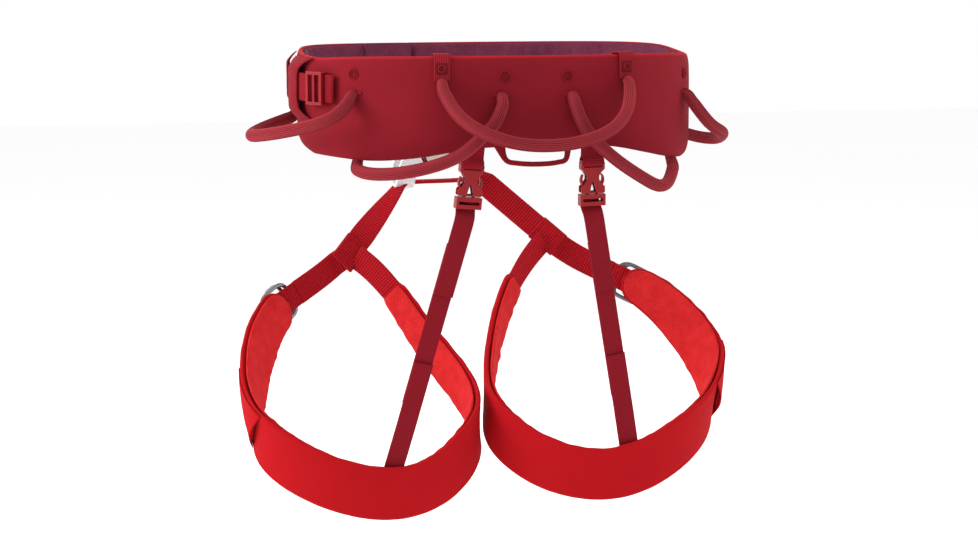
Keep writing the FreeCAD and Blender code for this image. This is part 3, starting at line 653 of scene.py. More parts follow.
def belt_bottom(point):
    """Height of the belt's lower edge: low at the back with an arch over the spine, higher in front."""
    return max(np.interp(point[1], BOTTOM_EDGE[:, 0], BOTTOM_EDGE[:, 1]),
               np.interp(point[0], ARCH_EDGE[:, 0], ARCH_EDGE[:, 1]))


def belt_top(point):
    """Height of the belt's upper edge: lowest over the hips."""
    return np.interp(point[1], TOP_EDGE[:, 0], TOP_EDGE[:, 1])


def belt_section(distance, inner, outer, top_inset, bottom_inset, count, crown, seed):
    """Ring of points round the belt's thickness, padded out between its edges."""
    point, normal = oval(distance)
    low, high = belt_bottom(point) + bottom_inset, belt_top(point) - top_inset
    middle, depth, height = (inner + outer) / 2, (outer - inner) / 2, (high - low) / 2
    ring = []
    for step in range(count):
        angle = 2 * math.pi * step / count
        c, s = math.cos(angle), math.sin(angle)
        z = math.copysign(abs(s) ** 0.35, s)
        fall = max(0.0, 1.0 - abs(z) ** 9)
        out = middle + math.copysign(depth, c) * min(1.0, abs(c) ** 0.42) * (1.0 + crown * (fall - 1.0))
        place = vec(point[0], point[1], 0.0) + vec(0, 0, (low + high) / 2 + z * height)
        crease = noise_at(place, 0.035, seed) * 0.35 + noise_at(place, 0.11, seed + 5) * 0.16
        ring.append(place + normal * (out + crease * (1.0 - abs(s) ** 12)))
    return ring


def rolled_edge(rings):
    """Millimetres round a belt section, from the middle of its outside to the middle of its upper edge."""
    ring = np.array(rings[len(rings) // 2])[:len(rings[0]) // 4 + 1]
    return float(np.linalg.norm(np.diff(ring, axis=0), axis=1).sum())


def make_belt():
    """Outer cover round the foam, the puckered lining inside it, and the flap under the join in front."""
    join = oval_at(x=FRONT_JOIN, side=1)
    stops = join + 0.4 + (ROUND - 0.8) * np.linspace(0.0, 1.0, 340)
    rings = [belt_section(d, -7.0, 0.0, 0.0, 0.0, 56, 0.35, 2.0) for d in stops]
    for end in (0, -1):  # the cut ends are rounded off
        inside = rings[1] if end == 0 else rings[-2]
        centre = np.mean(rings[end], axis=0)
        rings[end] = [centre + (np.array(p) - centre) * 0.93 for p in inside]
    cover = skin("belt_cover", rings, along=stops)
    cover.data.materials.append(belt_material(rolled_edge(rings)))
    finish_piece(cover, "waistbelt", "belt_fabric", "belt_outer_shell", "belt_foam_core", fill=0.55)

    inner = [belt_section(d, -8.7, -5.4, 1.4, 1.2, 40, 0.1, 9.0) for d in stops[2:-2]]
    wrinkled = []
    for distance, ring in zip(stops[2:-2], inner):
        _, normal = oval(distance)
        puckered = []
        for p in ring:
            edge = min(abs(p[2] - belt_top(p)), abs(p[2] - belt_bottom(p)))
            gather = math.exp(-(edge / 13.0) ** 2) * 0.95
            ripple = noise.noise(Vector((distance * 0.2, p[2] * 0.05, 3.0)))
            puckered.append(p + normal * (gather * ripple + 0.25 * noise_at(p, 0.06, 4.0)))
        wrinkled.append(puckered)
    lining = skin("belt_lining", wrinkled, along=stops[2:-2])
    finish_piece(lining, "waistbelt", "lining_mesh", "belt_mesh_lining", fill=0.25)

    start, end = oval_at(x=FRONT_JOIN, side=1) - 2.0, oval_at(x=-80.0, side=1)
    along = np.linspace(start, end, 24)
    flap = ribbon("end_flap", [on_belt(d, 14.4, -9.4) for d in along], (0, 0, 1), 49.4, 1.3)
    finish_piece(flap, "waistbelt", "lining_mesh", "belt_end_flap")


def finish_piece(piece, body, slot, *nodes, material=None, fill=None):
    """The material (the slot's own, unless another is named), the body that the piece moves with, and the CAD
    nodes that it stands for; fill is not used."""
    if not piece.data.materials:
        piece.data.materials.append(MATERIALS[material or slot])
    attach(piece, body)
    if nodes:
        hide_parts(*nodes)
    return piece


# ---------------------------------------------------------------- waist webbing, its tail, keepers and slider
def waist_web(name, start, end, proud, thick, node, count, waves=0.0):
    """Waist webbing lying on the belt from one distance round it to another."""
    points = [on_belt(d, WEB_MID + waves * math.sin(d * 0.21), proud) for d in np.linspace(start, end, count)]
    finish_piece(ribbon(name, points, (0, 0, 1), WAIST_WEB, thick), "waistbelt", "dark_webbing", node)


def strap_bulge(start, end, low, high, proud, lift, name, node, flare):
    """Fabric keeper sewn to the belt above and below the strap that it holds, bulging over it."""
    middle, half = (start + end) / 2, (end - start) / 2
    rows, columns = 26, 20
    outer, inner = [], []
    for i in range(rows):
        share = i / (rows - 1)
        height = low + (high - low) * share
        rise = min(1.0, math.sin(math.pi * min(1.0, max(0.0, share))) * 1.9) ** 0.8
        line, under = [], []
        for j in range(columns):
            side = 2 * j / (columns - 1) - 1
            distance = middle + half * side + flare * max(0.0, side) * (2 * share - 1) ** 4
            stand = proud + (lift - proud) * rise * (1 - 0.1 * side ** 2)
            stand += 0.35 * noise.noise(Vector((distance * 0.12, height * 0.1, 1.0)))
            line.append(on_belt(distance, height, stand))
            under.append(on_belt(distance, height, max(0.15, stand - 1.15)))
        outer.append(line)
        inner.append(under)
    rings = []
    for j in range(columns):
        front = [outer[i][j] for i in range(rows)]
        back = [inner[i][j] for i in reversed(range(rows))]
        rings.append(front + back)
    piece = skin(name, rings, shell=True)
    return finish_piece(piece, "waistbelt", "belt_fabric", node)


def make_waist_strap():
    """Waist webbing, its buckle and tail, the two keepers that hold the tail, and the slider."""
    left = oval_at(x=-58.0, side=1)
    right = oval_at(x=152.0, side=1)
    if right > left:
        left += ROUND
    waist_web("waist_strap", right, left, 1.4, 2.0, "waist_webbing", 160)
    start, end = oval_at(x=-90.0, side=1), oval_at(x=-130.0, side=1)
    waist_web("waist_buckle_strap", start, end, 1.4, 2.0, "waist_buckle_webbing", 30)
    start, end = oval_at(x=-92.0, side=1), oval_at(y=-52.0, side=-1)
    waist_web("waist_strap_end", start, end, 3.6, 1.7, "waist_strap_tail", 90, 0.25)
    start, end = oval_at(y=14.0, side=-1), oval_at(y=-12.0, side=-1)
    strap_bulge(start, end, -12.0, 33.4, 0.6, 7.0, "hip_keeper", "hip_strap_keeper", 17.0)
    start, end = oval_at(y=36.0, side=-1), oval_at(y=22.0, side=-1)
    strap_bulge(start, end, -4.0, 36.0, 0.6, 7.6, "front_keeper", "front_strap_keeper", 0.0)
    distance = oval_at(x=-75.0, side=1)
    normal = oval(distance)[1]
    along = np.cross(normal, vec(0, 0, 1))
    for node, body, standing, length in (("waist_buckle_frame", "waistbelt", 6.4, 30.0),
                                         ("waist_buckle_tilt_bar", "waist_tilt_bar", 9.7, 20.0)):
        place = on_belt(distance, WEB_MID, standing)
        piece = forged_ring(node, place, along, vec(0, 0, 1), length, FRAME_HEIGHT, 3.9)
        finish_piece(piece, body, "metal", node)
    thread = [(-58, 1.4), (-66, 2.2), (-74, 4.5), (-79, 8.5), (-83, 12.2), (-88, 11), (-94, 8), (-100, 3.6)]
    route = interpolated([on_back(x, WEB_MID, standing, 1) for x, standing in thread], 60)
    strap = ribbon("waist_buckle_pass", route, (0, 0, 1), 19.4, 1.8)
    finish_piece(strap, "waistbelt", "dark_webbing")
    finish_piece(moulded("strap_slider", 0.9, 4), "hip_slider", "buckle_plastic")


def forged_ring(node, centre, x, z, length, height, bar):
    """Rounded metal frame lying in the plane of x and z, with a bar-wide flat section."""
    angles = np.linspace(0, 2 * math.pi, 96, endpoint=False)
    y = np.cross(z, x)
    half, tall = (length - bar) / 2, (height - bar) / 2

    def corner(value):
        return math.copysign(abs(value) ** 0.55, value)

    line = [centre + x * half * corner(math.cos(a)) + z * tall * corner(math.sin(a)) for a in angles]
    ring = np.vstack([line[-1:], line, line[:1]])
    flow = tangents(ring)[1:-1]
    outs = [unit(np.cross(t, y)) for t in flow]
    shape = section(2.2, -bar / 2, bar / 2, 1.0, 3, 4)
    return closed_sweep(node + "_piece", line, [y] * len(line), outs, shape)


# ---------------------------------------------------------------- stitched rings and tabs on the back
def torus(place, axis, radius, thick, turns=72, sides=10, bumps=0.0, count=24):
    axis = unit(axis)
    first = unit(np.cross(axis, vec(0, 0, 1)) if abs(axis[2]) < 0.9 else vec(1, 0, 0))
    second = np.cross(axis, first)
    rings = []
    for i in range(turns):
        a = 2 * math.pi * i / turns
        radial = first * math.cos(a) + second * math.sin(a)
        r = thick * (1.0 + bumps * math.sin(a * count))
        rings.append([place + radial * (radius + r * math.cos(b)) + axis * r * math.sin(b)
                      for b in np.arange(sides) * 2 * math.pi / sides])
    along = 2 * math.pi * radius * np.arange(turns + 1) / turns
    around = 2 * math.pi * thick * np.arange(sides + 1) / sides
    thing = new_object("torus", np.array(rings).reshape(-1, 3),
                       *grid_faces(turns, sides, along, around, closed=True))
    orient(thing)
    return thing


def make_anchor_rings():
    """Embroidered rings where the gear loops pass into the belt, each two rounds of bumpy thread."""
    for name, x, height in (("left_rear", -23.5, 21.5), ("right_rear", 23.5, 21.5),
                            ("left_hip", -124.0, 23.0), ("right_hip", 127.5, 20.0)):
        distance = oval_at(x=x, side=-1)
        place, axis = on_belt(distance, height, 0.35), oval(distance)[1]
        rounds = [torus(place, axis, 3.6, 0.55, bumps=0.35, count=22),
                  torus(place, axis, 2.0, 0.5, bumps=0.35, count=13)]
        nodes = ["stitched_anchor_rings"] if name == "left_rear" else []
        finish_piece(joined(name + "_ring", rounds), "waistbelt", "belt_fabric", *nodes,
                     material="thread_ring")


def make_centre_tabs():
    """Ribbed tapes folded over the top edge, holding the ends of the centre gear loop."""
    for name, x in (("left", -68.5), ("right", 68.5)):
        distance = oval_at(x=x, side=-1)
        point, normal = oval(distance)
        along = np.cross(vec(0, 0, 1), normal)
        path = [(1.1, 18.6), (1.3, 20.5), (1.4, 24.0), (1.4, 30.0), (1.2, 34.5), (0.2, 36.8), (-1.6, 37.4),
                (-5.0, 37.4), (-8.4, 37.2), (-10.0, 35.6), (-10.3, 31.0), (-10.2, 25.0)]
        route = interpolated([vec(point[0], point[1], z) + normal * out for out, z in path], 60)
        tab = ribbon(name + "_tab", route, along, 11.4, 1.3)
        nodes = ["centre_loop_tabs"] if name == "left" else []
        finish_piece(tab, "waistbelt", "dark_webbing", *nodes, material="tab_tape")
        lap = [on_belt(distance, z, 2.05) for z in np.linspace(23.4, 31.4, 8)]
        patch = ribbon(name + "_tab_patch", lap, along, 8.4, 0.5)
        finish_piece(patch, "waistbelt", "dark_webbing", material="dark_thread")
        ring = torus(on_belt(distance, 27.4, 2.4), normal, 2.4, 0.55, bumps=0.25, count=15)
        ring.name = name + "_tab_ring"
        finish_piece(ring, "waistbelt", "belt_fabric", material="thread_ring")


# ---------------------------------------------------------------- gear loops
OFF = 5.2  # from the belt's surface to the cord's centre line
TAB_OFF = 6.6  # the same where a tab holds the cord
RIDGES, RIDGE_DEPTH = 19, 0.2  # the braided sheath's fine ridges
LOOPS = {
    "left_front_gear_loop": (on_back(-124.0, 4.5, OFF), [
        (-136, -79, -3), (-152, -80, -11), (-175, -57, -18), (-188, -18, -23), (-182, 10, -23),
        (-165, 34, -19)], on_back(-135.0, -13.0, OFF, 1)),
    "right_front_gear_loop": (on_back(127.5, 1.5, OFF), [
        (139, -68, -10), (150, -60, -19), (163, -45, -24), (175, -22, -28), (181, 6, -34),
        (173, 30, -34), (153, 48, -26)], on_back(135.0, -14.0, OFF, 1)),
    "left_rear_gear_loop": (on_back(-26.0, 3.5, OFF), [
        (-30, -109, -8), (-42, -110, -20), (-60, -113, -34), (-85, -111, -42), (-109, -97, -46.5),
        (-123.5, -77, -46)], vec(-122, -62, -43.6)),
    "right_rear_gear_loop": (on_back(26.0, 3.5, OFF), [
        (30, -109, -9), (39, -110, -23), (57, -112, -39), (78, -108, -52), (94, -101, -60),
        (108, -86, -57)], vec(117, -68, -46.2)),
    "centre_gear_loop": (on_back(-68.5, 13.5, TAB_OFF), [
        (-67, -110, 4), (-60, -117, -7), (-46, -124, -17), (-23, -127, -24.5), (0, -128, -26.5),
        (25, -127, -24.5), (49, -124, -17), (62, -117, -6), (67.5, -110, 4)], on_back(68.5, 13.5, TAB_OFF)),
}


def make_gear_loops():
    """Each gear loop's sheath, sunk into the belt at its ends, and the lip of fabric over its upper end."""
    for name, (start, middle, end) in LOOPS.items():
        route = spline([start, *middle, end], 150)
        first = unit(vec(*oval(nearest_distance(start))[1]))
        last = unit(vec(*oval(nearest_distance(end))[1]))
        sink = 4.6 if name == "centre_gear_loop" else 5.4
        enters_under_edge = name in ("left_rear_gear_loop", "right_rear_gear_loop")
        tail = [end - last * 1.6 + vec(0, 0, 2.4), end - last * sink + vec(0, 0, 4.6)]
        if enters_under_edge:
            tail = [end - last * 1.8 + vec(0, 0, 3.0), end - last * 3.4 + vec(0, 0, 7.6)]
        head = [start - first * sink + vec(0, 0, 4.6), start - first * 1.6 + vec(0, 0, 2.4)]
        route = interpolated(head + list(route[1:-1:4]) + tail, 190)
        reach = distances(route)
        ends = np.minimum(reach, reach[-1] - reach)
        radius = CORD_RADIUS * (0.78 + 0.22 * np.clip(ends / 14.0, 0, 1) ** 0.6)
        piece = tube(name + "_sheath", route, radius, RIDGES * 5, RIDGES)
        finish_piece(piece, name.replace("_gear_loop", "_loop_body"), "cord_sheath", name)
        if name != "centre_gear_loop":
            middle = nearest_distance(start)
            lip = [on_belt(middle + step, start[2] + 5.2, 0.7 - abs(step) * 0.07)
                   for step in np.linspace(-7, 7, 16)]
            cover = ribbon(name + "_lip", lip, (0, 0, 1), 2.6, 0.9)
            finish_piece(cover, "waistbelt", "belt_fabric")


def nearest_distance(point):
    return min((np.linalg.norm(p[:2] - point[:2]), d) for d, p in OVAL_TABLE)[1]


def make_haul_loop():
    """Thin folded webbing under the back of the belt, wide where it is sewn in on the left."""
    points = [(-27.5, -98, -24.0), (-23, -105, -37.6), (-16, -108, -39.4), (-1, -110, -40.2),
              (14, -108, -39.4), (21, -105, -37.6), (25, -98, -24.0)]
    route = interpolated(points, 90)
    share = np.linspace(0, 1, 90)
    width = 3.6 + 5.6 * np.exp(-(share / 0.12) ** 2) + 2.4 * np.exp(-((1 - share) / 0.12) ** 2)
    out = vec(0, -1, 0)
    side = [unit(np.cross(t, out + vec(0, 0, 0.35))) for t in tangents(route)]
    piece = ribbon("haul_loop_webbing", route, side, width, 2.3)
    finish_piece(piece, "haul", "dark_webbing", "haul_loop")


# ---------------------------------------------------------------- front: tie-in loop, belay loop, bridge
def make_tie_in_loop():
    """Thick webbing loop under the belt in front, with a wear guard round its lower part."""
    points = [(-30, 103.0, -9.5), (-30, 107.2, -14), (-29, 108, -21), (-24, 115, -28), (-10, 119, -28),
              (10, 119, -28), (24, 115, -28), (29, 108, -21), (30, 107.2, -14), (30, 103.0, -9.5)]
    route = spline(points, 110)
    core = ribbon("tie_in_loop", route, (0, 1, 0.1), 6.2, 3.6, radius=1.5)
    finish_piece(core, "waistbelt", "belay_webbing", "waist_tie_in_loop")
    middle = route[26:-26]
    guard = ribbon("tie_in_guard", middle, (0, 1, 0.1), 6.9, 4.4, radius=1.8)
    finish_piece(guard, "waistbelt", "belay_sleeve")


def closed_sweep(name, centres, sides, outs, shape):
    """Closed ring of one section; each (across, out) point of the shape is laid off along sides and outs."""
    count, size = len(centres), len(shape)
    vertices = [c + side * a + out * b for c, side, out in zip(centres, sides, outs) for a, b in shape]
    along = distances(np.vstack([centres, centres[:1]]))
    around = distances(np.vstack([shape, shape[:1]]))
    thing = new_object(name, vertices, *grid_faces(count, size, along, around, closed=True))
    orient(thing)
    return thing


def make_belay_loop():
    """Closed loop of doubled webbing, slumped between the leg bridge and the waist's tie-in loop, with a
    sleeve over the lap on its rear strand and dark bands of stitching beside the sleeve."""
    bend = interpolated([vec(-38.5, 119, -74.2), vec(-38, 119, -64), vec(-34, 119, -54), vec(-24, 119, -47.6),
                         vec(-8, 119, -46.4), vec(6, 119, -44.0), vec(13.5, 119, -35),
                         vec(15, 119, -21)], 200)
    flow = tangents(bend)
    gap, thick = 10.4, 3.2
    length = float(np.linalg.norm(np.diff(bend, axis=0), axis=1).sum())

    def spot(distance, out):
        """Point, along and across directions on the bent loop; out is towards the front strand."""
        where = np.clip(distance, 0, length) / length * 199
        point = vec(*[np.interp(where, np.arange(200), bend[:, i]) for i in range(3)])
        along = unit(vec(*[np.interp(where, np.arange(200), flow[:, i]) for i in range(3)]))
        extra = distance - np.clip(distance, 0, length)
        return point + along * extra + vec(0, out, 0), along, np.cross(vec(0, 1, 0), along)

    track = []
    for s in np.linspace(gap, length - gap, 60, endpoint=False):
        track.append((s, -gap, 0.0, -1.0))
    for a in np.linspace(-math.pi / 2, math.pi / 2, 24, endpoint=False):
        track.append((length - gap + gap * math.cos(a), gap * math.sin(a), math.cos(a), math.sin(a)))
    for s in np.linspace(length - gap, gap, 60, endpoint=False):
        track.append((s, gap, 0.0, 1.0))
    for a in np.linspace(math.pi / 2, 3 * math.pi / 2, 24, endpoint=False):
        track.append((gap + gap * math.cos(a), gap * math.sin(a), math.cos(a), math.sin(a)))
    spots = [spot(s, out) for s, out, _, _ in track]
    outs = [along * a + vec(0, b, 0) for (_, along, _), (_, _, a, b) in zip(spots, track)]
    piece = closed_sweep("belay_loop_webbing", [p for p, _, _ in spots], [across for _, _, across in spots],
                         outs, section(BELAY_WEB, -thick / 2, thick / 2, 0.9))
    finish_piece(piece, "belay", "belay_webbing", "belay_loop")

    def on_strand(x, out):
        index = int(np.argmin(np.abs(bend[:, 0] - x) + (bend[:, 2] < -60) * 50))
        return spot(index / 199 * length, out)

    places = [on_strand(x, -gap) for x in np.linspace(-23.5, -5.0, 26)]
    sleeve = ribbon("belay_sleeve", [p for p, _, _ in places], [across for _, _, across in places], 16.2, 4.6,
                    radius=1.4)
    finish_piece(sleeve, "belay", "belay_sleeve", "belay_loop_sleeve")
    bars = []
    for x in (*np.linspace(-27.6, -24.6, 4), *np.linspace(-3.9, -0.9, 4)):
        place, _, across = on_strand(x, -gap - thick / 2)
        bars.append(tube("bar", [place + across * a for a in np.linspace(-7.2, 7.2, 20)], 0.5, 8))
    finish_piece(joined("belay_bar_tacks", bars), "belay", "belay_sleeve", material="dark_thread")


# ---------------------------------------------------------------- leg loops
LEGS = {
    "left": [(-89, 90, -122), (-61, 68, -151), (-41, 45, -186), (-22, 15, -217), (-21, -20, -242),
             (-56, -48, -274), (-99, -60, -281), (-154, -50, -265), (-183, -25, -241), (-184, 5, -211),
             (-171, 35, -181), (-151, 60, -160), (-124, 76, -145), (-89, 90, -122)],
    "right": [(72, 90, -114.5), (37, 68, -148), (17, 45, -177), (1, 15, -207), (-5, -20, -239),
              (25, -48, -267), (73, -60, -276), (133, -45, -258), (168, -15, -236), (178, 15, -208),
              (168, 40, -182), (146, 62, -158), (114, 78, -141), (72, 90, -114.5)],
}
LEANS = [0, 0, 0, 0, 0, 0, 0, 4, 12, 20, 22, 18, 8, 0]
CORNERS = {"left": vec(-39.6, 117.0, -71.5), "right": vec(23.0, 117.0, -69.0)}
TONGUES = {"left": (9.0, 10.0), "right": (22.0, 18.0)}
PAD_WIDTHS = [21, 26, 31, 35, 38, 38.5, 38.5, 39, 38, 35, 30, 22]
PAD_OUT, PAD_IN, PAD_SPLIT = 3.6, -3.6, -1.4
LEG_WEB = 19.0


def clamped_spline(knots, points, wanted):
    """Cubic spline through points, whose end slopes are those of the cubic through the four nearest."""
    knots, points = np.asarray(knots, float), np.asarray(points, float)
    n = len(knots)
    slopes = []
    for place, part in ((knots[0], slice(0, 4)), (knots[-1], slice(n - 4, n))):
        fits = [np.polyfit(knots[part] - place, points[part, i], 3) for i in range(3)]
        slopes.append(vec(*[fit[-2] for fit in fits]))
    h = np.diff(knots)
    matrix, right = np.zeros((n, n)), np.zeros((n, 3))
    matrix[0, 0] = matrix[-1, -1] = 1.0
    right[0], right[-1] = slopes
    for i in range(1, n - 1):
        matrix[i, i - 1], matrix[i, i], matrix[i, i + 1] = h[i], 2 * (h[i - 1] + h[i]), h[i - 1]
        before, after = (points[i] - points[i - 1]) / h[i - 1], (points[i + 1] - points[i]) / h[i]
        right[i] = 3 * (h[i] * before + h[i - 1] * after)
    slope = np.linalg.solve(matrix, right)
    found = []
    for value in wanted:
        i = int(np.clip(np.searchsorted(knots, value) - 1, 0, n - 2))
        s = (value - knots[i]) / h[i]
        found.append((1 + 2 * s) * (1 - s) ** 2 * points[i] + s * (1 - s) ** 2 * h[i] * slope[i]
                     + s * s * (3 - 2 * s) * points[i + 1] + s * s * (s - 1) * h[i] * slope[i + 1])
    return np.array(found)


class Band:
    """The CAD's leg-loop band: a curve with a width direction and an outward normal at each distance."""

    def __init__(self, route):
        self.points = np.array(route, float)
        knots = distances(self.points)
        wanted = np.linspace(0, knots[-1], 1600)
        self.dense = clamped_spline(knots, self.points, wanted)
        self.reach = distances(self.dense)
        self.length = self.reach[-1]
        self.stops = np.interp(knots, wanted, self.reach)
        self.centre = self.points.mean(axis=0)

    def at(self, distance):
        return vec(*[np.interp(distance, self.reach, self.dense[:, i]) for i in range(3)])

    def frame(self, distance):
        point = self.at(distance)
        low, high = max(0.0, distance - 0.6), min(self.length, distance + 0.6)
        tangent = unit(self.at(high) - self.at(low))
        across = unit(vec(0, 0, 1) - tangent * tangent[2])
        normal = np.cross(tangent, across)
        if normal.dot(point - self.centre) < 0:
            normal = -normal
        lean = math.radians(np.interp(distance, self.stops, LEANS))
        return point, tangent, across * math.cos(lean) + normal * math.sin(lean), \
            normal * math.cos(lean) - across * math.sin(lean)

    def spot(self, distance, sideways, standing):
        point, _, across, normal = self.frame(distance)
        return point + across * sideways + normal * standing


def band_ribbon(name, band, stops, standing, width, thick, radius=None):
    """Ribbon laid along a band; standing may be one value or one for each stop."""
    standing = np.broadcast_to(np.asarray(standing, float), (len(stops),))
    points = [band.spot(d, 0.0, s) for d, s in zip(stops, standing)]
    return ribbon(name, points, [band.frame(d)[2] for d in stops], width, thick, radius)


def pad_width(band, distance):
    return float(np.interp(distance, band.stops[1:13], PAD_WIDTHS))


def round_end(distance, start, end, reach):
    """1 along the pad, falling to 0 in a rounded tongue over the last stretch before its end."""
    share = np.clip((end - distance) / reach, 0.0, 1.0)
    first = np.clip((distance - start) / 4.0, 0.0, 1.0)
    return math.sqrt(max(0.0, 1 - (1 - share) ** 2.4)) * (0.86 + 0.14 * first)


def inflate(thing, pinned, pressure, cap, frames=14):
    """Blow a closed fabric up with Blender's cloth, its pinned points held, and keep the result."""
    mesh = thing.data
    group = thing.vertex_groups.new(name="sewn")
    for index, weight in enumerate(pinned):
        if weight > 0:
            group.add([index], float(weight), "REPLACE")
    cloth_modifier = thing.modifiers.new("cloth", "CLOTH")
    settings = cloth_modifier.settings
    settings.quality = 4
    settings.mass = 0.25
    settings.tension_stiffness = settings.compression_stiffness = 9.0
    settings.shear_stiffness = 4.0
    settings.bending_stiffness = 0.6
    settings.use_pressure = True
    settings.uniform_pressure_force = pressure
    settings.vertex_group_mass = "sewn"
    settings.pin_stiffness = 1.0
    settings.effector_weights.gravity = 0.0
    cloth_modifier.collision_settings.use_collision = False
    scene = bpy.context.scene
    before = np.array([v.co for v in mesh.vertices])
    cloth_modifier.point_cache.frame_start, cloth_modifier.point_cache.frame_end = 1, frames
    for step in range(1, frames + 1):
        scene.frame_set(step)
    solved = thing.evaluated_get(bpy.context.evaluated_depsgraph_get()).to_mesh()
    after = np.array([v.co for v in solved.vertices])
    thing.evaluated_get(bpy.context.evaluated_depsgraph_get()).to_mesh_clear()
    moved = np.nan_to_num(after - before)
    reach = np.linalg.norm(moved, axis=1)
    moved *= (np.minimum(reach, cap * MM) / np.maximum(reach, 1e-9))[:, None]
    thing.modifiers.remove(cloth_modifier)
    mesh.vertices.foreach_set("co", (before + moved).ravel())
    mesh.update()
    scene.frame_set(1)


def make_leg_pad(side, band):
    """Cover and lining of a leg loop's pad: thin foam rolled into its edges, ending in a rounded tongue."""
    body = f"{side}_leg"
    start, end = band.stops[1] - 1.0, band.stops[11] + TONGUES[side][0] + 1.0
    seed = 11.0 if side == "left" else 23.0
    count, size = 220, 44
    stops = np.linspace(start, end, count)
    rings, sewn = [], []
    for d in stops:
        point, _, across, normal = band.frame(d)
        tip = round_end(d, start, end, 16.0)
        half = (pad_width(band, d) / 2 + 0.3) * max(tip, 0.12)
        swell = min(1.0, 0.35 + tip)
        ring = []
        for step in range(size):
            angle = 2 * math.pi * step / size
            c, s = math.cos(angle), math.sin(angle)
            y = math.copysign(abs(s) ** 0.5, s)
            edge = abs(y) ** 6
            bulge = math.copysign(abs(c) ** 0.5, c) * 2.45 * (1 - 0.22 * edge) * swell
            out = (PAD_OUT + PAD_SPLIT) / 2 + bulge
            roll = 0.5 * math.exp(-((abs(y) - 0.9) / 0.07) ** 2) * (1 if c > 0 else 0)
            place = point + across * (y * half)
            scallop = 0.75 * noise_at(place, 0.11, seed) * abs(y) ** 3 * (1.0 if y > 0 else 0.2)
            crease = 0.5 * noise_at(place, 0.03, seed + 3) + 0.2 * noise_at(place, 0.1, seed + 7)
            ring.append(place + across * scallop + normal * (out + roll + crease * (1 - edge)))
            sewn.append(1.0 if abs(y) > 0.93 else 0.0)
        rings.append(ring)
    cover = skin(f"{side}_pad_cover", rings, along=stops)
    inflate(cover, sewn + [1.0, 1.0], 2.5, 0.9)
    finish_piece(cover, body, "leg_fabric", f"{side}_leg_pad", fill=0.5)

    rings = []
    stops = np.linspace(start + 1.5, end - 2.5, count)
    for d in stops:
        point, _, across, normal = band.frame(d)
        tip = round_end(d, start + 1.5, end - 2.5, 15.0)
        half = (pad_width(band, d) / 2 - 1.1) * max(tip, 0.12)
        ring = []
        for a, b in section(2.0, -1.0, 1.0, 0.5, 16, 3):
            place = point + across * (a * half)
            gather = 1.25 * noise.noise(Vector((d * 0.15, a * 1.1, seed))) * (0.4 + 0.6 * abs(a) ** 2)
            ring.append(place + normal * ((PAD_IN + PAD_SPLIT) / 2 - 0.35 + b * 1.35 + gather * (b < 0)))
        rings.append(ring)
    lining = skin(f"{side}_pad_lining", rings, along=stops)
    finish_piece(lining, body, "leg_lining", f"{side}_leg_lining", fill=0.2)


def sewn_box(name, centre, along, across, normal, length, width, body):
    """Rows of thread in a box with a cross, lying on a webbing lap."""
    corners = {key: centre + along * (key[0] * length / 2) + across * (key[1] * width / 2)
               for key in ((-1, -1), (1, -1), (1, 1), (-1, 1))}
    rows = []
    for a, b in (((-1, -1), (1, -1)), ((1, -1), (1, 1)), ((1, 1), (-1, 1)), ((-1, 1), (-1, -1)),
                 ((-1, -1), (1, 1)), ((-1, 1), (1, -1))):
        points = corners[a] + (corners[b] - corners[a]) * np.linspace(0, 1, 30)[:, None]
        rows.append(stitches("row", points, [normal] * len(points), 1.9, 1.5, 0.24))
    finish_piece(joined(name, rows), body, "leg_webbing", material="thread")


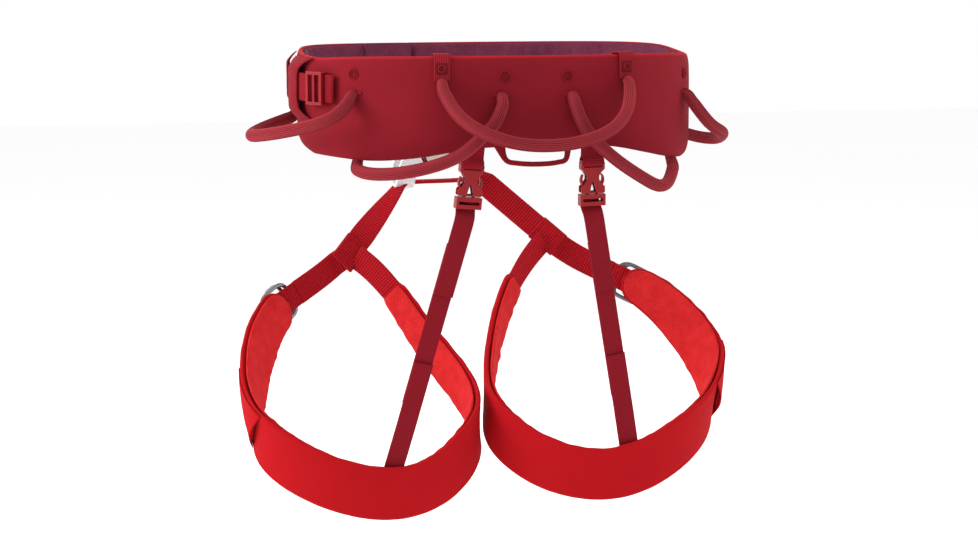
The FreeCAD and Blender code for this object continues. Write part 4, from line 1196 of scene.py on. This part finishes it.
def make_leg_webbing(side, band):
    """Bridge corner, upper strap, sewn junction, and the webbing on the loop up to its buckle."""
    body = f"{side}_leg"
    corner, junction = CORNERS[side], band.points[0]
    along = unit(junction - corner)
    flat = unit(np.cross(vec(0, 1, 0), along))
    inward = 1.0 if side == "left" else -1.0
    entry = corner + vec(inward * 3.2, 0, 1.6)
    points = interpolated([entry, corner + along * 3.0, corner + along * 14.0, corner + along * 30.0,
                           junction - along * 9.0], 70)
    reach = distances(points)
    spread = reach[-1] if side == "left" else 14.0
    turn = np.clip(reach / spread, 0, 1)
    turn = 0.08 + 0.92 * turn if side == "left" else 0.6 + 0.4 * turn * turn * (3 - 2 * turn)
    across = [unit(vec(0, 1, 0) * math.cos(t * math.pi / 2) + flat * inward * math.sin(t * math.pi / 2))
              for t in turn]
    width = 13.0 + (LEG_WEB - 13.0) * np.clip(reach / (60.0 if side == "left" else 10.0), 0, 1)
    strap = ribbon(f"{side}_upper_strap", points, across, width, 2.3)
    strap.data.materials.append(MATERIALS["leg_webbing"])
    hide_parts(f"{side}_upper_webbing")
    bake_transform(strap)

    normal = unit(np.cross(along, flat))
    lap = [junction + along * d for d in np.linspace(-11.5, 11.5, 24)]
    patch = ribbon(f"{side}_junction_patch", lap, flat, 20.6, 3.6, radius=1.3)
    finish_piece(patch, body, "leg_webbing", f"{side}_webbing_junction")
    for number, sign in enumerate((1, -1)):
        sewn_box(f"{side}_junction_stitching_{number}", junction + normal * sign * 1.85, along, flat,
                 normal * sign, 18.0, 17.0, body)

    stops = np.linspace(6.0, band.stops[1] + 7.0, 40)
    standing = np.interp(stops, [6.0, band.stops[1] - 4.0, band.stops[1] + 7.0], [0.0, 0.0, 1.6])
    piece = band_ribbon(f"{side}_inner_strap", band, stops, standing, LEG_WEB, 2.3)
    finish_piece(piece, body, "leg_webbing", f"{side}_inner_webbing")
    middle = band.stops[11] + TONGUES[side][1]
    stops = np.linspace(band.length - 5.0, middle + 15.0, 40)
    standing = np.interp(stops, [middle + 15.0, band.length - 14.0, band.length - 5.0], [4.1, 4.1, 1.0])
    piece = band_ribbon(f"{side}_outer_strap", band, stops, standing, LEG_WEB, 2.3)
    finish_piece(piece, body, "leg_webbing", f"{side}_outer_webbing")

    thread = [(-15.5, 5.4), (-11.5, 5.1), (-9.2, 6.4), (-8.2, 9.6), (-6.0, 13.2), (-3.4, 11.0), (-1.6, 7.0),
              (3.0, 4.7), (10.0, 4.1), (15.5, 4.1)]
    route = interpolated([(middle + d, s, 0.0) for d, s in thread], 60)
    piece = band_ribbon(f"{side}_buckle_strap", band, route[:, 0], route[:, 1], 18.4, 1.7)
    finish_piece(piece, body, "leg_webbing")

    keeper_start, keeper_end = band.stops[8] + 5.0, band.stops[9] + 8.0
    stops = np.linspace(keeper_start + 1.5, middle - 15.0, 120)
    waves = 0.25 * np.sin(stops * 0.11)
    piece = band_ribbon(f"{side}_strap_tail_piece", band, stops, PAD_OUT + 1.8 + waves, LEG_WEB, 1.7)
    finish_piece(piece, body, "leg_webbing", f"{side}_leg_strap_tail")

    rings = []
    for d in np.linspace(keeper_start, keeper_end, 40):
        ends = min(1.0, min(d - keeper_start, keeper_end - d) / 5.0)
        width = pad_width(band, d) + 0.4
        outer, under = [], []
        for share in np.linspace(-1, 1, 26):
            rise = max(0.0, math.cos(share * math.pi / 2))
            lip = 0.55 * (1 - ends) * rise
            ripple = 0.35 * noise.noise(Vector((d * 0.09, share * 2, 5.0)))
            stand = PAD_OUT - 0.2 + (4.9 + lip + ripple) * rise
            outer.append(band.spot(d, share * width / 2, stand))
            under.append(band.spot(d, share * (width / 2 - 0.7), stand - 1.25 * rise - 0.4))
        rings.append(outer + under[::-1])
    piece = skin(f"{side}_keeper", rings, shell=True)
    finish_piece(piece, body, "leg_fabric", f"{side}_leg_strap_keeper")

    for node, owner, shift, standing, length in (
            (f"{side}_leg_buckle_frame", body, -3.0, 7.4, 33.0),
            (f"{side}_leg_buckle_tilt_bar", f"{side}_leg_tilt", 0.0, 10.7, 20.0)):
        point, tangent, across, normal = band.frame(middle + shift)
        piece = forged_ring(node, point + normal * standing, tangent, across, length, FRAME_HEIGHT, 3.2)
        finish_piece(piece, owner, "metal", node)


def make_bridge():
    """Webbing that joins the two leg loops in front."""
    points = interpolated([vec(-38.5, 117, -71.3), vec(-24, 117, -70.9), vec(-8, 117, -70.8),
                           vec(8, 117, -70.4), vec(22.5, 117, -69.2)], 60)
    bridge = ribbon("leg_bridge", points, (0, 1, 0), 12.0, 2.6)
    finish_piece(bridge, "waistbelt", "leg_webbing", "leg_bridge_webbing")


# ---------------------------------------------------------------- rear straps and buckles
STRAPS = {"left": (vec(-45.5, -96.5, -33.8), vec(-48.9, -94.1, -71.9), vec(-93.0, -57.0, -260.5)),
          "right": (vec(43.5, -96.8, -33.8), vec(44.5, -94.1, -72.1), vec(87.5, -57.0, -256.5))}


LOWER_RUN = 118.0  # from the buckle's lower end to the lower run's upper end


def axes(up):
    """Local axes of a rear strap: across, forwards and up along it."""
    z = unit(up)
    x = unit(vec(1, 0, 0) - z * z[0])
    return x, np.cross(z, x), z


def make_rear_strap(side):
    """Folded tab under the belt, side-release buckle, and the elastic strap down to the leg loop."""
    top, bend, low = STRAPS[side]
    x, y, z = axes(top - bend)
    width = np.interp(np.linspace(0, 1, 50), [0, 0.75, 0.92, 1], [15.6, 15.6, 13.4, 12.6])
    halves = []
    for name, sign, tip in (("rear", -1, 0.6), ("front", 1, -0.4)):
        path = [(1.6 * sign, 8.0), (1.6 * sign, 0.0), (2.0 * sign, -2.6), (4.3 * sign, -5.0),
                (4.4 * sign, -7.4), (2.6 * sign, -9.3), (tip, -9.2)]
        route = interpolated([top + y * out + z * up for out, up in path], 50)
        halves.append(ribbon(f"{side}_tab_{name}", route, x, width, 1.5))
    tab = joined(f"{side}_strap_tab", halves)
    finish_piece(tab, f"{side}_hanger", "dark_webbing", f"{side}_rear_tab")

    for node, owner in ((f"{side}_female_buckle", "hanger"), (f"{side}_male_buckle", "male"),
                        (f"{side}_buckle_arm_outer", "arm_outer"), (f"{side}_buckle_arm_inner", "arm_inner")):
        finish_piece(moulded(node, 0.55, 4), f"{side}_{owner}", "buckle_plastic")

    x, y, z = axes(bend - low)
    length = np.linalg.norm(bend - low)

    def layer(name, body, node, path, width):
        """One layer of the elastic along a path of (forwards, down) from the buckle's lower end."""
        route = interpolated([bend + y * out - z * down for out, down in path], max(30, int(length / 3)))
        piece = ribbon(name, route, x, width, 1.7, radius=0.7)
        if body != "elastic_lower":
            finish_piece(piece, f"{side}_{body}", "elastic", node)
            return
        # the lower run stretches from the upper one instead of sliding past it
        piece.data.materials.append(MATERIALS["elastic"])
        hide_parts(node)
        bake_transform(piece)

    layer(f"{side}_elastic_loop", "male", f"{side}_elastic_fold",
          [(-0.6, -4.6), (1.6, -4.6), (4.2, -3.4), (4.4, -0.4), (2.6, 2.6), (0.2, 5.4), (-0.9, 10.0),
           (-1.05, 20.0), (-1.05, 44.0), (-1.05, 66.0)], 14.8)
    layer(f"{side}_elastic_run", "elastic_upper", f"{side}_elastic_middle",
          [(1.05, 28.0), (1.05, 60.0), (0.95, 100.0), (1.05, 150.0)], 14.4)
    layer(f"{side}_elastic_lower_run", "elastic_lower", f"{side}_elastic_end",
          [(-1.05, LOWER_RUN), (-1.05, 140.0), (-1.0, 165.0), (-0.6, length - 12.0),
           (0.0, length + 3.0)], 14.8)


# ---------------------------------------------------------------- making everything
MATERIALS = {
    # painted shade and light: the lining's darker and lighter ends follow its crease bumps
    "lining_mesh": cloth("lining_mesh", (0.06, 0.010, 0.024), (0.20, 0.040, 0.080), knit(1.3), 0.9, 0.10,
                         (0.8, 0.0007), 0.6, 95.0, crease=5.0),
    "dark_webbing": cloth("dark_webbing", (0.11, 0.004, 0.008), (0.27, 0.010, 0.018), ribbed(1.35, 0.5),
                          0.8, 0.08, (0.6, 0.0004)),
    "tab_tape": cloth("tab_tape", (0.10, 0.004, 0.008), (0.32, 0.018, 0.026), lengthwise(1.3), 0.8, 0.08,
                      (0.7, 0.0005)),
    "belt_fabric": belt_material(),
    "cord_sheath": cloth("cord_sheath", (0.085, 0.005, 0.009), (0.33, 0.034, 0.043), braid(19), 0.85, 0.1,
                         (0.5, 0.0003)),
    "elastic": cloth("elastic", (0.13, 0.005, 0.010), (0.235, 0.009, 0.017), ribbed(1.05, 0.55, 0.6),
                     0.82, 0.06, (0.5, 0.0003)),
    "metal": metal_material("brushed_metal", (0.20, 0.20, 0.21)),
    "buckle_plastic": moulding("buckle_plastic", (0.27, 0.0025, 0.007)),
    "belay_webbing": cloth("belay_webbing", (0.42, 0.42, 0.44), (0.80, 0.80, 0.80), ribbed(1.3, 0.5),
                           0.85, 0.1, (0.5, 0.0004)),
    "belay_sleeve": cloth("belay_sleeve", (0.42, 0.36, 0.30), (0.68, 0.60, 0.52), twill(1.0), 0.88, 0.1),
    "leg_fabric": cloth("leg_fabric", (0.30, 0.0035, 0.006), (0.41, 0.006, 0.010), twill(0.8), 0.78, 0.06,
                        (0.35, 0.0003), 0.5),
    # painted light and shade: the coral lighter end stands for grazing light on the raised puckers, and the
    # darker end for shade in the creases
    "leg_lining": cloth("leg_lining", (0.36, 0.006, 0.011), (0.66, 0.028, 0.028), knit(1.6), 0.9, 0.1,
                        (0.8, 0.0006), 0.6, 110.0, crease=5.0),
    "leg_webbing": cloth("leg_webbing", (0.16, 0.003, 0.006), (0.50, 0.010, 0.018), ribbed(2.1, 0.6),
                         0.8, 0.04, (0.9, 0.0007)),
    "thread": cloth("thread", (0.22, 0.006, 0.010), (0.40, 0.012, 0.02), twill(0.4), 0.7, 0.08,
                    (0.2, 0.0001)),
    "dark_thread": cloth("dark_thread", (0.07, 0.004, 0.006), (0.14, 0.008, 0.012), twill(0.4), 0.7, 0.08,
                         (0.2, 0.0001)),
    "thread_ring": cloth("thread_ring", (0.13, 0.006, 0.010), (0.26, 0.012, 0.02), twill(0.5), 0.7, 0.08,
                         (0.3, 0.0002)),
}

camera_and_stage()
make_belt()
make_waist_strap()
make_anchor_rings()
make_centre_tabs()
make_gear_loops()
make_haul_loop()
make_tie_in_loop()
make_belay_loop()
make_bridge()
for side_name, leg_route in LEGS.items():
    leg_band = Band(leg_route)
    make_leg_pad(side_name, leg_band)
    make_leg_webbing(side_name, leg_band)
    make_rear_strap(side_name)
